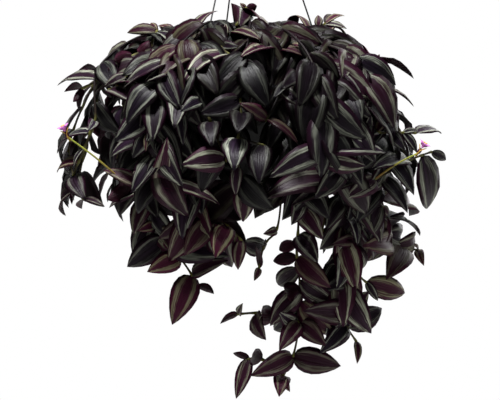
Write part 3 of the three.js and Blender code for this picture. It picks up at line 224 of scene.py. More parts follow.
# Front stems, each with the grid places of its leaves from root to tip: base column, base row,
# tip column, tip row, width as seen, and how the leaf shows. "lift" brings a stem forward.
FRONT_STEMS = {
    "top_left": {"lift": 0, "leaves": [
        (189, 51, 175, 88, 15, "F"), (176, 38, 155, 33, 10, "E"), (163, 57, 163, 90, 16, "F"),
        (152, 52, 157, 84, 14, "F"), (150, 41, 138, 52, 12, "B"), (157, 31, 127, 33, 12, "E"),
        (152, 30, 150.5, 23, 7, "f")
    ]},
    "far_left_upper": {"lift": 0, "leaves": [
        (138, 50, 114, 61, 22, "B"), (125, 66, 108, 70, 12, "B"), (93, 80, 108, 68, 13, "F"),
        (91, 82, 77, 72, 6, "b"), (88, 86, 57, 86, 11, "F"), (87, 89, 118, 116, 20, "F"),
        (83, 88, 64, 92, 8, "B"), (80, 93, 73, 102, 8, "b")
    ]},
    "left_shoulder": {"lift": 6, "leaves": [
        (138, 58, 132, 82, 11, "F"), (124, 78, 104, 87, 10, "F"), (120, 88, 159, 94, 9, "F"),
        (109, 90, 141, 107, 15, "F")
    ]},
    "upper_left_dome": {"lift": 8, "leaves": [
        (176, 88, 168, 113, 12, "F"), (170, 88, 174, 129, 22, "S"), (181, 108, 183, 146, 14, "F"),
        (158, 114, 146.5, 142, 13, "F"), (149, 132, 146, 152, 6, "f")
    ]},
    "upper_left_shoot": {"lift": -4, "leaves": [
        (192, 33, 218, 46, 8, "F"), (193, 31, 218, 11, 9, "F"), (189, 33, 191.5, 24, 4, "f")
    ]},
    "top_centre": {"lift": 0, "leaves": [
        (234, 27, 231, 3, 14, "B"), (242, 20, 244, 29, 6, "F"), (245, 14, 239, 28, 15, "F"),
        (247, 12, 268, 35, 12, "F"), (246, 8, 257, 6, 9, "b"), (245, 7, 240, 3, 7, "f")
    ]},
    "upper_centre": {"lift": 11, "leaves": [
        (237, 30, 262, 41, 10, "F"), (222, 36, 226, 24, 11, "F"), (219, 42, 240, 47, 10, "F"),
        (224, 59, 183, 84, 17, "S"), (245, 60, 268, 80, 11, "D")
    ]},
    "upper_centre_shoot": {"lift": 2, "leaves": [
        (262, 46, 226, 60, 8, "F"), (277, 52, 240, 58, 11, "F"), (283, 52, 311, 60, 9, "F"),
        (283, 47, 270, 36, 12, "F"), (290, 49, 322, 56, 7, "F")
    ]},
    "upper_right": {"lift": 0, "leaves": [
        (282, 35, 271, 28, 8, "B"), (295, 35, 280, 34, 7, "S"), (299, 32, 281, 27, 6, "E"),
        (310, 29, 295, 15, 6, "f"), (317, 29, 297, 38, 14, "B"), (319, 28, 318, 15, 13, "F"),
        (325, 24, 347, 29, 7, "S"), (326, 23, 331, 14, 9, "F"), (328, 22, 345, 16, 6, "f")
    ]},
    "right_shoulder": {"lift": 0, "leaves": [
        (322, 58, 348, 79, 18, "B"), (326, 50, 329, 39, 10, "B"), (332, 50, 349, 80, 11, "F"),
        (338, 51, 357, 49, 11, "B"), (345, 56, 358, 68, 8, "F"), (368, 64, 352, 51, 6, "E"),
        (374, 64, 414, 79, 12, "b"), (377, 60, 379.5, 54, 5, "f")
    ]},
    "right_upper_side": {"lift": 0, "leaves": [
        (330, 79, 345, 92, 10, "F"), (352, 76, 392, 88, 17, "F"), (358, 82, 386, 89, 9, "F"),
        (370, 90, 389, 104, 12, "F"), (390, 90, 393, 104, 4, "E"), (393, 90, 414, 107, 2.5, "E")
    ]},
    "centre_high": {"lift": 0, "leaves": [
        (305, 74, 336, 71, 14, "F"), (305, 80, 280, 90, 17, "D"), (285, 82, 273, 99, 10, "F"),
        (282, 90, 303, 107, 14, "F")
    ], "branches": [
        [(267, 119, 239, 103, 14, "f"), (269, 116, 299, 146, 9, "f")]
    ]},
    "right_dome": {"lift": 4, "leaves": [
        (340, 95, 322, 118, 16, "F"), (345, 92, 351, 127, 20, "S"), (312, 119, 338, 141, 16, "F")
    ]},
    "right_side": {"lift": 7, "leaves": [
        (359, 127, 371, 115, 10, "F"), (382, 129, 364, 139, 9, "F"), (381, 128, 395, 107, 11, "f"),
        (388, 140, 405, 150, 15, "D"), (405, 127, 419, 131, 6, "F"), (402, 131, 417, 153, 9, "F"),
        (415, 133, 441, 134, 8, "F")
    ]},
    "centre_front": {"lift": 14, "leaves": [
        (325, 146, 386, 153, 20, "F"), (320, 152, 269, 178, 24, "S"), (322, 158, 366, 166, 20, "S"),
        (319, 160, 294, 166, 9, "f")
    ]},
    "lower_right_dome": {"lift": 4, "leaves": [
        (340, 178, 262, 200, 26, "D"), (348, 188, 290, 207, 16, "F"), (384, 178, 346, 198, 22, "F"),
        (390, 170, 410, 178, 9, "F"), (412, 158, 371, 170, 17, "F"), (421, 156, 427, 209, 25, "S"),
        (431, 152, 446, 160, 10, "F")
    ], "flower": (381, 177, 418, 153, 426, 142)},
    "centre_left": {"lift": 2, "leaves": [
        (240, 96, 199, 114, 22, "D"), (240, 108, 237, 134, 25, "D"), (243, 136, 234, 171, 30, "F"),
        (230, 173, 236, 196, 12, "F"), (243, 185, 243, 222, 28, "F")
    ], "branches": [
        [(262, 145, 259, 184, 25, "D")]
    ]},
    "left_centre": {"lift": 8, "leaves": [
        (195, 92, 180, 112, 14, "F"), (212, 117, 212, 147, 22, "D"), (225, 159, 181, 165, 26, "S")
    ]},
    "left_dome_shoot": {"lift": 2, "leaves": [
        (144, 136, 111, 157, 15, "F"), (163, 138, 156, 151, 7, "F"), (168, 158, 147, 173, 10, "F"),
        (145, 172, 132, 173, 8, "F")
    ]},
    "left_dome": {"lift": 12, "leaves": [
        (163, 183, 167, 137, 20, "F"), (167, 181, 220, 205, 16, "S"), (151, 188, 181, 202, 12, "S"),
        (145, 190, 109, 208, 15, "F"), (142, 187, 103, 170, 14, "F"), (130, 185, 105, 202, 18, "b")
    ], "flower": (108, 174, 68, 137, 62, 125)},
    "far_left": {"lift": 0, "leaves": [
        (101, 115, 88, 131, 14, "F"), (84, 132, 57, 154, 4, "E"), (88, 150, 74, 169, 5, "E"),
        (80, 162, 57, 173, 9, "f"), (68, 173, 86, 200, 22, "D"), (76, 192, 66, 216, 6, "E"),
        (84, 199, 105, 207, 7, "F"), (86, 202, 82, 209, 5, "B")
    ]},
    "left_trail": {"lift": 0, "leaves": [
        (152, 219, 138, 231, 15, "F"), (160, 236, 127, 267, 26, "D"), (163, 241, 182, 256, 12, "F"),
        (188, 259, 147, 272, 28, "F"), (191, 279, 229, 260, 15, "D"), (191, 281, 172, 325, 27, "f"),
        (197, 286, 214, 294, 8, "b")
    ]},
    "left_trail_inner": {"lift": 4, "leaves": [
        (195, 218, 158, 239, 20, "D"), (214, 222, 184, 256, 26, "D"), (227, 218, 215, 258, 26, "F"),
        (241, 240, 238, 270, 14, "F")
    ]},
    "trail_long": {"lift": 6, "leaves": [
        (300, 232, 318, 263, 24, "F"), (294, 240, 279, 250, 12, "B"), (297, 260, 273, 261, 13, "B"),
        (298, 266, 331, 288, 22, "D"), (300, 270, 287, 293, 22, "B"), (303, 335, 326, 346, 20, "D"),
        (299, 340, 279, 351, 20, "F"), (293, 357, 341, 366, 26, "D"), (289, 363, 250, 376, 22, "F"),
        (283, 376, 279, 397, 18, "F"), (288, 371, 290, 392, 8, "f")
    ], "branches": [
        [(298, 324, 279, 312, 18, "F"), (281, 316, 262, 315, 21, "B"), (251, 310, 268, 345, 25, "D"),
         (239, 314, 243, 303, 7, "F"), (242, 316, 220, 324, 7, "b")],
        [(270, 360, 252, 357, 19, "B"), (249, 359, 236, 399, 15, "F"), (247, 358, 233, 353, 7, "b")]
    ]},
    "trail_right": {"lift": 6, "leaves": [
        (343, 306, 303, 311, 26, "D"), (340, 300, 369, 291, 22, "F"), (341, 329, 319, 354, 20, "F"),
        (343, 329, 349, 319, 9, "F"), (345, 334, 382, 308, 24, "D"), (356, 341, 357, 364, 8, "f")
    ]},
    "trail_right_upper": {"lift": 2, "leaves": [
        (353, 217, 361, 239, 14, "F"), (358, 245, 331, 245, 14, "D"), (346, 256, 332, 286, 26, "B"),
        (351, 269, 345, 287, 10, "b"), (361, 278, 320, 292, 22, "D"), (366, 282, 405, 293, 24, "S"),
        (367, 284, 378, 301, 9, "F")
    ]},
    "trail_far_right": {"lift": 0, "leaves": [
        (381, 198, 409, 216, 15, "F"), (378, 205, 387, 216, 7, "F"), (388, 217, 420, 236, 3, "E"),
        (383, 230, 373, 212, 6, "F"), (389, 244, 362, 246, 28, "F"), (402, 248, 386, 280, 28, "D"),
        (418, 250, 411, 244, 4, "f"), (416, 252, 424, 266, 10, "f")
    ]},
    "trail_small": {"lift": 0, "bare": True, "leaves": [
        (291, 224, 263, 234, 9, "F"), (250, 240, 267, 245, 10, "F"), (259, 268, 255, 246, 6, "B"),
        (257, 266, 254, 281, 7, "F")
    ]}
}

# Grown stems of the back, the sides, the crown and the shaded inside.
BACK_STEMS = 11
BACK_BEARINGS = (-6, 186)
BACK_TOP = (36, 22)
BACK_DROP = (-84, -100, -230, -180, -124, -84, -166, -132, -104, -124, -118)
BACK_REACH = (0.78, 0.91)
BACK_LEAN = 0.06
BACK_EARLY = 30
CROWN_STEMS = 5
CROWN_BEARING = 20
CROWN_TOP = 44
CROWN_SINK = 24
CROWN_SPREAD = (12, 8)
CROWN_REACH = (0.36, 0.66)
CROWN_EARLY = 26
INNER_STEMS = 6
INNER_BEARINGS = (-166, -14)
INNER_REACH = 0.72
INNER_TOP = 20
INNER_DROP = -112
DROP_SPREAD = 20
GROWN_WANDER = 9
GROWN_INSET = 0.06
GROWN_SPACING = 31
GROWN_LENGTH = 57
GROWN_LENGTH_SPREAD = 8
GROWN_TIP_SCALE = (0.5, 0.72, 0.88)
# How a grown leaf leaves its stem: aside, along and down, each with its least and how much a draw
# adds, and outwards. The one at the tip runs on with the stem. It faces up more and more from a
# height over the rim.
GROWN_ASIDE = (0.62, 0.4)
GROWN_ALONG = (0.3, 0.4)
GROWN_DROOP = (0.2, 0.35)
TIP_ASIDE = 0.15
TIP_ALONG = 1
GROWN_OUTWARD = 0.12
GROWN_ROLL = 50
TILT_FROM = -90
TILT_RISE = 130
TILT_RANGE = (0.15, 1.2)
# A placed leaf whose seen width is too much for its seen length leans to the eye.
FRONT_RATIO = 0.52
FRONT_LEAN = 0.7

# Shift in millimetres, roll in degrees, scale.
LEAF_TRIES = [
    (0, 0, 1), (-7, 0, 1), (7, 0, 1), (0, 20, 1), (0, -20, 1), (-14, 0, 1), (14, 10, 1), (-7, 25, 0.9),
    (7, -25, 0.9), (-20, 0, 0.9), (0, 40, 0.85), (0, -40, 0.85), (-12, 30, 0.75), (12, -30, 0.75),
    (-24, 0, 0.75), (22, 0, 0.75)
]
STEM_TRIES = 90
LEVEL_STEM_TRIES = 30
# How near to a try the CAD node's corners must be, and the scores that find it built or surely so.
STEM_SLACK = 0.1
BLADE_SLACK = 0.05
LEAST_SCORE = 0.5
SURE_SCORE = 0.9

# Filling leaves. How far out they may reach, as shares of the canopy, and how far up, down and aside.
FILL_REACH = 0.97
FILL_BULGE = 0.13
FILL_BULGE_DEPTH = 150
FILL_TRAIL_BULGE = 0.25
FILL_HUG_REACH = 0.06
FILL_TOP = 52
FILL_LOWEST_LEFT = -228
FILL_LOWEST_RIGHT = -292
FILL_SIDE_LEFT = 172
FILL_SIDE_RIGHT = 160
FILL_SIDE_SLOPE = 1.4
FILL_SIDE_FLOOR = -84
# How clear they keep of other leaves, of the other leaves' joints, of the pot and of the soil.
FILL_GAP = 2.5
FILL_CELL = 4.0
FILL_BASE_GAP = 7
FILL_TRAIL_BASE_GAP = 3
FILL_POT_GAP = 4
FILL_SOIL_GAP = 16
# How they turn to the front and close in on a stem that is bare for more than a share of the gap,
# less so at the crown. Those that do so for more than half keep to their own tries below.
FILL_TURN = 0.8
FILL_TURN_DEPTH = 80
FILL_CLOSE = 0.9
FILL_HUG_GAP = 24
FILL_HUG_FROM = 0.4
FILL_HUG_CROWN = 0.7
FILL_HUGS = 0.5
# Where the first one of a stem grows, as a share of the spacing, how much spacing and size vary, the
# numbers that tell their draws apart, their shape, and the shifts, rolls and scales that are tried.
# The first tries are only for leaves that hug their stem.
FILL_FIRST = 0.7
FILL_VARIATION = 0.2
FILL_KEYS = (900, 60)
FILL_OUTER_TRIES = 2
FILL_RATIO = 0.55
FILL_TRIES = [
    (9, 0, 0.9), (15, -8, 0.8), (-8, 0, 1), (-16, 15, 1), (-2, -15, 0.9), (-24, -10, 1), (-12, 25, 0.85),
    (-34, 10, 0.9), (-18, -25, 0.85), (4, 15, 0.8), (-28, 20, 0.75), (-44, 0, 0.8), (-50, -20, 0.9),
    (-10, 30, 0.65), (-56, 20, 0.7)
]
# Gaps of the front that stay open, as column, row and radius on the grid, and the height over the
# rim below which a bare stem has no filling leaves.
OPENINGS = [(281, 241, 14), (265, 286, 12), (226, 271, 9), (372, 262, 7), (408, 222, 11)]
BARE_BELOW = -125

# The shaded hollow under the crown on the front: its middle on the grid, its half widths, how far
# in its leaves stay and how much painted shade it puts on their colour and stripes.
HOLLOW = (262, 117)
HOLLOW_SPREAD = (58, 56)
HOLLOW_INSET = 0.3
HOLLOW_PAINTED_SHADE = 0.5

# Where the crown and the trails begin, over and under the rim, and over what height they set in.
CROWN_FROM = -20
CROWN_RISE = 50
TRAIL_FROM = 140
TRAIL_RISE = 40

# How wine-coloured leaves are: the height over the rim where they are least so, how far from it that
# holds, how far on they are most so, and both shares.
WINE_LEAST_HEIGHT = -60
WINE_FREE = 20
WINE_RISE = 65
WINE_LEAST = 0.1
WINE_MOST = 0.85
# Youth, silver and shade of placed leaves, of grown ones, and the shares that make up silver and
# shade of the filling ones. Shade darkens a leaf's colour: partly drawn at random, partly painted
# shade on leaves marked D, deep inside and in the hollow. Stronger silver and less shade on the
# crown, the trails and hugging leaves are painted light.
YOUNG_PLACED = 0.8
YOUNG_TIP = 0.75
GROWN_WINE = 1.2
SHOWN_SILVER = {"S": 1.0, "D": 0.15}
PLACED_SILVER = (0.3, 1.0)
PLACED_SHADE = 0.5
GROWN_SILVER = (0.1, 1.0)
GROWN_SHADE = (0.1, 0.75)
FILL_SILVER = {"start": 0.1, "draw": 0.5, "hug": 0.3, "crown": 0.4, "trail": 0.3, "hollow": -0.3}
FILL_SHADE = {"start": 0.6, "draw": 0.35, "hug": -0.2, "depth": 1, "hollow": 0.9, "trail": -0.45}


# Small helpers


def clamp(value, low, high):
    """A value held between two limits."""
    return max(low, min(high, value))


def mix(a, b, share):
    """A value at a share of the way from a to b."""
    return a + (b - a) * share


def rounded(value):
    """The nearest whole number, halves upwards."""
    return math.floor(value + 0.5)


def polar(radius, bearing, z):
    """A place at a radius and bearing about the upright axis."""
    return Vector((radius * math.cos(bearing), radius * math.sin(bearing), z))


def draw(*keys):
    """A repeatable draw from 0 to 1 for a list of whole numbers, the last of which tells apart what
    the draws are for."""
    word = 0xFFFFFFFF
    value = 2166136261
    for key in keys:
        value = ((value ^ key) * 16777619) & word
        value ^= value >> 13
    value = ((value ^ (value >> 15)) * 2246822519) & word
    value ^= value >> 13
    return value / 4294967296


# Canopy and grid


def canopy_at(height):
    """Half width and half depth of the canopy at a height over the rim."""
    index = 0
    while index < len(CANOPY) - 2 and height < CANOPY[index + 1][0]:
        index += 1
    top, low = CANOPY[index], CANOPY[index + 1]
    share = clamp((top[0] - height) / (top[0] - low[0]), 0, 1)
    return mix(top[1], low[1], share), mix(top[2], low[2], share)


def canopy_place(bearing, height, reach):
    """A stem's place inside the canopy's outline, or at a share of the way out to it."""
    half_width, half_depth = canopy_at(height)
    radius = reach / math.hypot(math.cos(bearing) / half_width, math.sin(bearing) / half_depth)
    return polar(radius - STEM_INSET, bearing, RIM_Z + height)


def reach_of(point):
    """How far out a point is, as a share of the way to the canopy's outline."""
    half_width, half_depth = canopy_at(point.z - RIM_Z)
    return math.hypot(point.x / half_width, point.y / half_depth)


def front_depth(column, row, lift):
    """How deep the canopy's front is behind a place of the grid."""
    half_width, half_depth = canopy_at((GRID_RIM_ROW - row) * GRID_STEP)
    across = (column - GRID_AXIS_COLUMN) * GRID_STEP / half_width
    return -(half_depth * math.sqrt(max(FRONT_FLATTEST, 1 - across * across)) + lift)


def grid_place(column, row, depth):
    """The place at a depth that the eye sees at a column and row of the grid."""
    step = GRID_STEP * (EYE_DISTANCE + depth) / EYE_DISTANCE
    eye_x = (EYE_COLUMN - GRID_AXIS_COLUMN) * GRID_STEP
    eye_z = RIM_Z - (EYE_ROW - GRID_RIM_ROW) * GRID_STEP
    return Vector((eye_x + (column - EYE_COLUMN) * step, depth, eye_z + (EYE_ROW - row) * step))


# Stem routes


def smooth_point(points, index, share):
    """A point of the centripetal curve through the points, in the stretch after points[index]."""
    p1, p2 = points[index], points[index + 1]
    p0 = points[index - 1] if index > 0 else 2 * p1 - p2
    p3 = points[index + 2] if index + 2 < len(points) else 2 * p2 - p1
    d0, d1, d2 = ((b - a).length ** 0.5 for a, b in ((p0, p1), (p1, p2), (p2, p3)))
    d1 = d1 if d1 > 1e-4 else 1
    d0 = d0 if d0 > 1e-4 else d1
    d2 = d2 if d2 > 1e-4 else d1
    start = ((p1 - p0) / d0 - (p2 - p0) / (d0 + d1) + (p2 - p1) / d1) * d1
    finish = ((p2 - p1) / d1 - (p3 - p1) / (d1 + d2) + (p3 - p2) / d2) * d1
    square = 3 * (p2 - p1) - 2 * start - finish
    cube = 2 * (p1 - p2) + start + finish
    return p1 + start * share + square * share**2 + cube * share**3


def route_through(controls, step=STEM_STEP):
    """Places along the curve through the controls, with a short tip at its end."""
    route = [controls[0]]
    for i in range(len(controls) - 1):
        parts = max(1, rounded((controls[i + 1] - controls[i]).length / step))
        route += [smooth_point(controls, i, part / parts) for part in range(1, parts + 1)]
    onward = (route[-1] - route[-2]).normalized() * STEM_TIP
    return route + [route[-1] + onward]


def stem_try(number):
    """Small changes of a stem's turn, rise, root and lift, which come round at different rates."""
    return {
        "turn": 0 if number == 0 else math.radians(((number * 7) % 13 - 6) * 3),
        "rise": (number * 5) % 4 * 9, "root": ((number * 3) % 5 - 2) * 8,
        "lift": 0 if number < LEVEL_STEM_TRIES else (number % 5 - 2) * 5
    }


def approach(target, attempt):
    """From its hole in the soil, up, over the rim and down to where the leaves begin."""
    reach = math.hypot(target.x, target.y)
    aim = math.atan2(target.y, target.x)
    height = target.z - RIM_Z
    root = clamp(ROOT_SHARE * reach + attempt["root"], *ROOT_CIRCLE)
    heights = (SOIL_Z - STEM_ROOT_DEPTH, SOIL_Z, SOIL_Z + ROOT_RISE)
    controls = [polar(root, aim + attempt["turn"], z) for z in heights]
    if height > CROWN_STEM_HEIGHT and reach < CROWN_STEM_REACH:
        middle = controls[2].lerp(target, 0.5)
        middle.z += CROWN_STEM_RISE + attempt["rise"] * RISE_SHARE
        return controls + [middle]
    crest = max(CREST_SHARE * reach, min(CREST_REACH, reach - CREST_INSET))
    crest_z = RIM_Z + (CREST_RISE + attempt["rise"] + max(0, height) * CREST_FOLLOW)
    half = aim + attempt["turn"] * CREST_TURN
    controls += [polar((root + crest) / 2, half, crest_z - CREST_LEAD), polar(crest, half, crest_z)]
    if height < OUTSIDE_HEIGHT:
        shoulder = max(SHOULDER_SHARE * reach, SHOULDER_REACH)
        bend = aim + attempt["turn"] * SHOULDER_TURN
        controls.append(polar(shoulder, bend, RIM_Z - SHOULDER_DROP + attempt["rise"] * RISE_SHARE))
    return controls


def joints(rows, lift):
    """Places of a stem's joints, a little eased, and which of them each leaf grows from."""
    places, of = [], []
    for column, row, *_ in rows:
        place = grid_place(column, row, front_depth(column, row, lift) + STEM_INSET)
        if not places or (places[-1] - place).length > JOINT_SPACING:
            places.append(place)
        of.append(len(places) - 1)
    eased = list(places)
    for i, (place, after) in enumerate(zip(places, places[1:])):
        middle, share = ((places[i - 1] + after) / 2, JOINT_EASE) if i else (after, ROOT_EASE)
        eased[i] = place.lerp(middle, share)
    return eased, of


def nearest(points, place):
    """Which of the points is nearest to a place."""
    return min(points, key=lambda point: (point - place).length_squared)


def front_plan(spec, attempt, key):
    """Controls of the stem and its branches, the leaves wanted and the flower."""
    lift = spec["lift"] + attempt["lift"]
    places, of = joints(spec["leaves"], lift)
    runs = [approach(places[0], attempt) + places]
    leaves = [(row, places[of[i]]) for i, row in enumerate(spec["leaves"])]
    for branch in spec.get("branches", []):
        side, side_of = joints(branch, lift - BRANCH_INSET)
        runs.append([nearest(places, side[0])] + side)
        leaves += [(row, side[side_of[i]]) for i, row in enumerate(branch)]
    return {
        "runs": runs,
        "flower": flower_plan(spec["flower"], route_through(runs[0])) if "flower" in spec else None,
        "leaves": [
            {"row": row, "base": base, "lift": lift, "key": (key, i)}
            for i, (row, base) in enumerate(leaves)
        ]
    }


def flower_plan(row, run):
    """A flower's stalk, its end and the way that it faces."""
    base = nearest(run, grid_place(row[0], row[1], front_depth(row[0], row[1], 0)))
    end = grid_place(row[2], row[3], base.y - FLOWER_FORWARD)
    middle = base.lerp(end, 0.5) + Vector(STALK_BOW)
    facing = (grid_place(row[4], row[5], end.y - FLOWER_LEAN) - end).normalized()
    return {"stalk": [base, middle, end], "end": end, "facing": facing}


def grown_plan(spec, attempt, key):
    """Controls of a stem that follows the canopy down, and its leaves."""
    steps = max(1, rounded(abs(spec["top"] - spec["drop"]) / STEM_STEP))
    controls = []
    for i in range(steps + 1):
        height = mix(spec["top"], spec["drop"], i / steps)
        bearing = math.radians(spec["bearing"] + (draw(key, i, 11) - 0.5) * GROWN_WANDER)
        share = mix(spec["reach"], spec["end_reach"], i / steps)
        place = canopy_place(bearing, height, share * (1 - GROWN_INSET * draw(key, i, 12)))
        controls.append(place + polar(1, bearing, 0) * attempt["lift"])
    first = controls[0]
    controls = approach(first, attempt) + controls
    leaves = grown_leaves(route_through(controls), first, spec, key)
    return {"runs": [controls], "leaves": leaves, "flower": None}


def grown_leaves(run, first, spec, key):
    """Leaves at even steps along a stem, smaller towards its tip, on one side and the other."""
    lengths = [0]
    for before, after in zip(run, run[1:]):
        lengths.append(lengths[-1] + (after - before).length)
    total = lengths[-2]
    begin = next(i for i, point in enumerate(run) if (point - first).length < 0.01)
    start = lengths[begin] - spec["early"]
    count = max(2, rounded((total - start) / GROWN_SPACING))
    leaves = []
    for i in range(count + 1):
        distance = start + (total - start) * i / count
        index = next((n for n, length in enumerate(lengths) if length >= distance - 1e-4), len(run) - 1)
        before, after = run[max(1, index) - 1], run[max(1, index)]
        base = before.lerp(after, (distance - lengths[max(1, index) - 1]) / (after - before).length)
        from_tip = count - i
        taper = GROWN_TIP_SCALE[from_tip] if from_tip < len(GROWN_TIP_SCALE) else 1
        size = (GROWN_LENGTH + (2 * draw(key, i, 21) - 1) * GROWN_LENGTH_SPREAD) * taper
        leaves.append({
            "base": base, "tangent": (after - before).normalized(), "hand": 1 if i % 2 else -1, "size": size,
            "last": from_tip == 0, "key": (key, i)
        })
    return leaves


def inner_stems():
    """Specs of the stems in the shaded inside of the front."""
    return {
        f"inner_{i + 1}": {
            "bearing": mix(*INNER_BEARINGS, i / (INNER_STEMS - 1)), "top": INNER_TOP, "early": 0,
            "drop": INNER_DROP - DROP_SPREAD * draw(i, 44), "reach": INNER_REACH, "end_reach": INNER_REACH
        }
        for i in range(INNER_STEMS)
    }


def outer_stems():
    """Specs of the stems of the crown and of those down the back and the sides."""
    specs = {}
    for i in range(CROWN_STEMS):
        specs[f"crown_{i + 1}"] = {
            "bearing": CROWN_BEARING + 360 * i / CROWN_STEMS, "early": CROWN_EARLY,
            "top": CROWN_TOP - CROWN_SINK - CROWN_SPREAD[0] * draw(i, 41),
            "drop": CROWN_TOP + CROWN_SPREAD[1] * draw(i, 42),
            "reach": CROWN_REACH[0], "end_reach": CROWN_REACH[1]
        }
    for i in range(BACK_STEMS):
        bearing = mix(*BACK_BEARINGS, i / (BACK_STEMS - 1))
        lean = -BACK_LEAN * math.cos(math.radians(bearing))
        specs[f"back_{i + 1}"] = {
            "bearing": bearing, "top": BACK_TOP[i % len(BACK_TOP)], "early": BACK_EARLY,
            "drop": BACK_DROP[i % len(BACK_DROP)] - DROP_SPREAD * draw(i, 43),
            "reach": BACK_REACH[0] + lean, "end_reach": BACK_REACH[1] + lean
        }
    return specs


# Leaves


def outline_at(t, shoulder, taper):
    """The width of a blade at t as a share of its widest."""
    widest = shoulder / (shoulder + taper)
    return (t / widest) ** shoulder * ((1 - t) / (1 - widest)) ** taper


def leaf_frame(base, tip, facing, roll, width, form):
    """A blade's place, directions and size. It faces as asked, then rolls about its axis."""
    axis = tip - base
    length = axis.length
    axis = axis / length
    flat = (facing - axis * facing.dot(axis)).normalized()
    normal = flat * math.cos(roll) + axis.cross(flat) * math.sin(roll)
    return {
        "base": base, "axis": axis, "side": axis.cross(normal), "normal": normal, "length": length,
        "width": width, "form": form
    }


def front_leaf(leaf, attempt):
    """The tip keeps its place on the grid, and the tilt gives the width that shows."""
    shift, extra_roll, scale = attempt
    column, line, tip_column, tip_line, seen_width, shows = leaf["row"]
    seen = GRID_STEP * math.hypot(tip_column - column, tip_line - line)
    wide = GRID_STEP * seen_width
    full = max(seen, wide / FRONT_RATIO)
    toward = min(0.5 * full, math.sqrt(full * full - seen * seen)) * FRONT_LEAN
    depth = front_depth(tip_column, tip_line, leaf["lift"]) - toward + shift
    tip = grid_place(tip_column, tip_line, depth).lerp(leaf["base"], 1 - scale)
    length = (tip - leaf["base"]).length
    width = clamp(wide * scale, BLADE_SLIMMEST * length, BLADE_STOUTEST * length)
    edge = math.acos(min(1, wide * scale / width))
    facing = -TO_EYE if shows.upper() == "B" else TO_EYE
    form = BLADE_FORMS[int(draw(*leaf["key"], 5) * len(BLADE_FORMS))]
    rolls = (roll + math.radians(extra_roll) for roll in (edge, -edge))
    first, second = (leaf_frame(leaf["base"], tip, facing, roll, width, form) for roll in rolls)
    return first if first["normal"].z >= second["normal"].z else second


def grown_leaf(leaf, attempt):
    """A leaf to one side of its stem, drooping, that faces out and, near the crown, upwards."""
    shift, extra_roll, scale = attempt
    base, tangent, key = leaf["base"], leaf["tangent"], leaf["key"]
    outward = Vector((base.x, base.y, 0)).normalized()
    tilt = clamp((base.z - RIM_Z - TILT_FROM) / TILT_RISE, *TILT_RANGE)
    facing = (outward + UP * tilt + leaf.get("toward", Vector())).normalized()
    aside, along, droop = (
        least + more * draw(*key, number)
        for number, (least, more) in enumerate((GROWN_ASIDE, GROWN_ALONG, GROWN_DROOP), 31)
    )
    if leaf["last"]:
        aside, along = TIP_ASIDE, TIP_ALONG
    direction = tangent.cross(facing).normalized() * leaf["hand"] * aside * leaf.get("splay", 1)
    direction += tangent * along
    direction += UP * -droop + outward * GROWN_OUTWARD
    size = leaf["size"] * scale
    direction = direction.normalized() * size + facing * shift
    tip = base + direction.normalized() * size
    form = BLADE_FORMS[int(draw(*key, 5) * len(BLADE_FORMS))]
    roll = math.radians(extra_roll + (draw(*key, 34) - 0.5) * GROWN_ROLL)
    return leaf_frame(base, tip, facing, roll, leaf.get("ratio", BLADE_RATIO) * size, form)


def blade_point(leaf, t, across):
    """A point on a blade: t runs from base to tip, across from one edge to the other."""
    bow, fold, sway = leaf["form"]
    half_width = outline_at(t, *BLADE_OUTLINE) * leaf["width"] / 2
    arch = 4 * t * (1 - t) * leaf["length"]
    point = leaf["base"] + leaf["axis"] * (t * leaf["length"])
    point = point + leaf["side"] * (sway * arch + across * half_width)
    return point + leaf["normal"] * (bow * arch + abs(across) * fold * half_width)


# Fitting to the frame: of the tries that a stem or a leaf may have taken, the one whose corners
# are in the CAD node is the one that was built.


def node_corners(name):
    """The corners of a CAD node, in millimetres, to be searched."""
    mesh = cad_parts[name].data
    tree = KDTree(len(mesh.vertices))
    for i, vertex in enumerate(mesh.vertices):
        tree.insert(vertex.co / MM, i)
    tree.balance()
    return tree


def stem_score(corners, plan):
    """The share of a route's places that have corners of the CAD stem around them."""
    hits = []
    for controls in plan["runs"]:
        for point in route_through(controls):
            near = corners.find_range(point, STEM_RADIUS + STEM_SLACK)
            hits.append(sum(distance > STEM_RADIUS - STEM_SLACK for _, _, distance in near) >= 2)
    return sum(hits) / len(hits)


def built_plan(corners, plan, spec, key):
    """The try of a stem's plan that was built."""
    best, most = None, 0
    for number in range(STEM_TRIES):
        made = plan(spec, stem_try(number), key)
        score = stem_score(corners, made)
        if score > most:
            best, most = made, score
        if most > SURE_SCORE:
            break
    if most < LEAST_SCORE:
        raise RuntimeError(f"no route fits the CAD stem, best {most:.2f}")
    return best


def leaf_score(corners, leaf):
    """The share of a blade's edge places and tip that are corners of the CAD stem."""
    times = BLADE_TIMES["large" if leaf["length"] > LARGE_BLADE else "small"]
    marks = [blade_point(leaf, t, side) for t in times for side in (-1, 1)]
    marks.append(leaf["base"] + leaf["axis"] * leaf["length"])
    return sum(corners.find(mark)[2] < BLADE_SLACK for mark in marks) / len(marks)


def built_leaf(corners, make, leaf):
    """The try of a leaf that was built, or none when it was left out."""
    tries = [make(leaf, attempt) for attempt in LEAF_TRIES]
    scores = [leaf_score(corners, made) for made in tries]
    most = max(scores)
    return tries[scores.index(most)] if most >= LEAST_SCORE else None


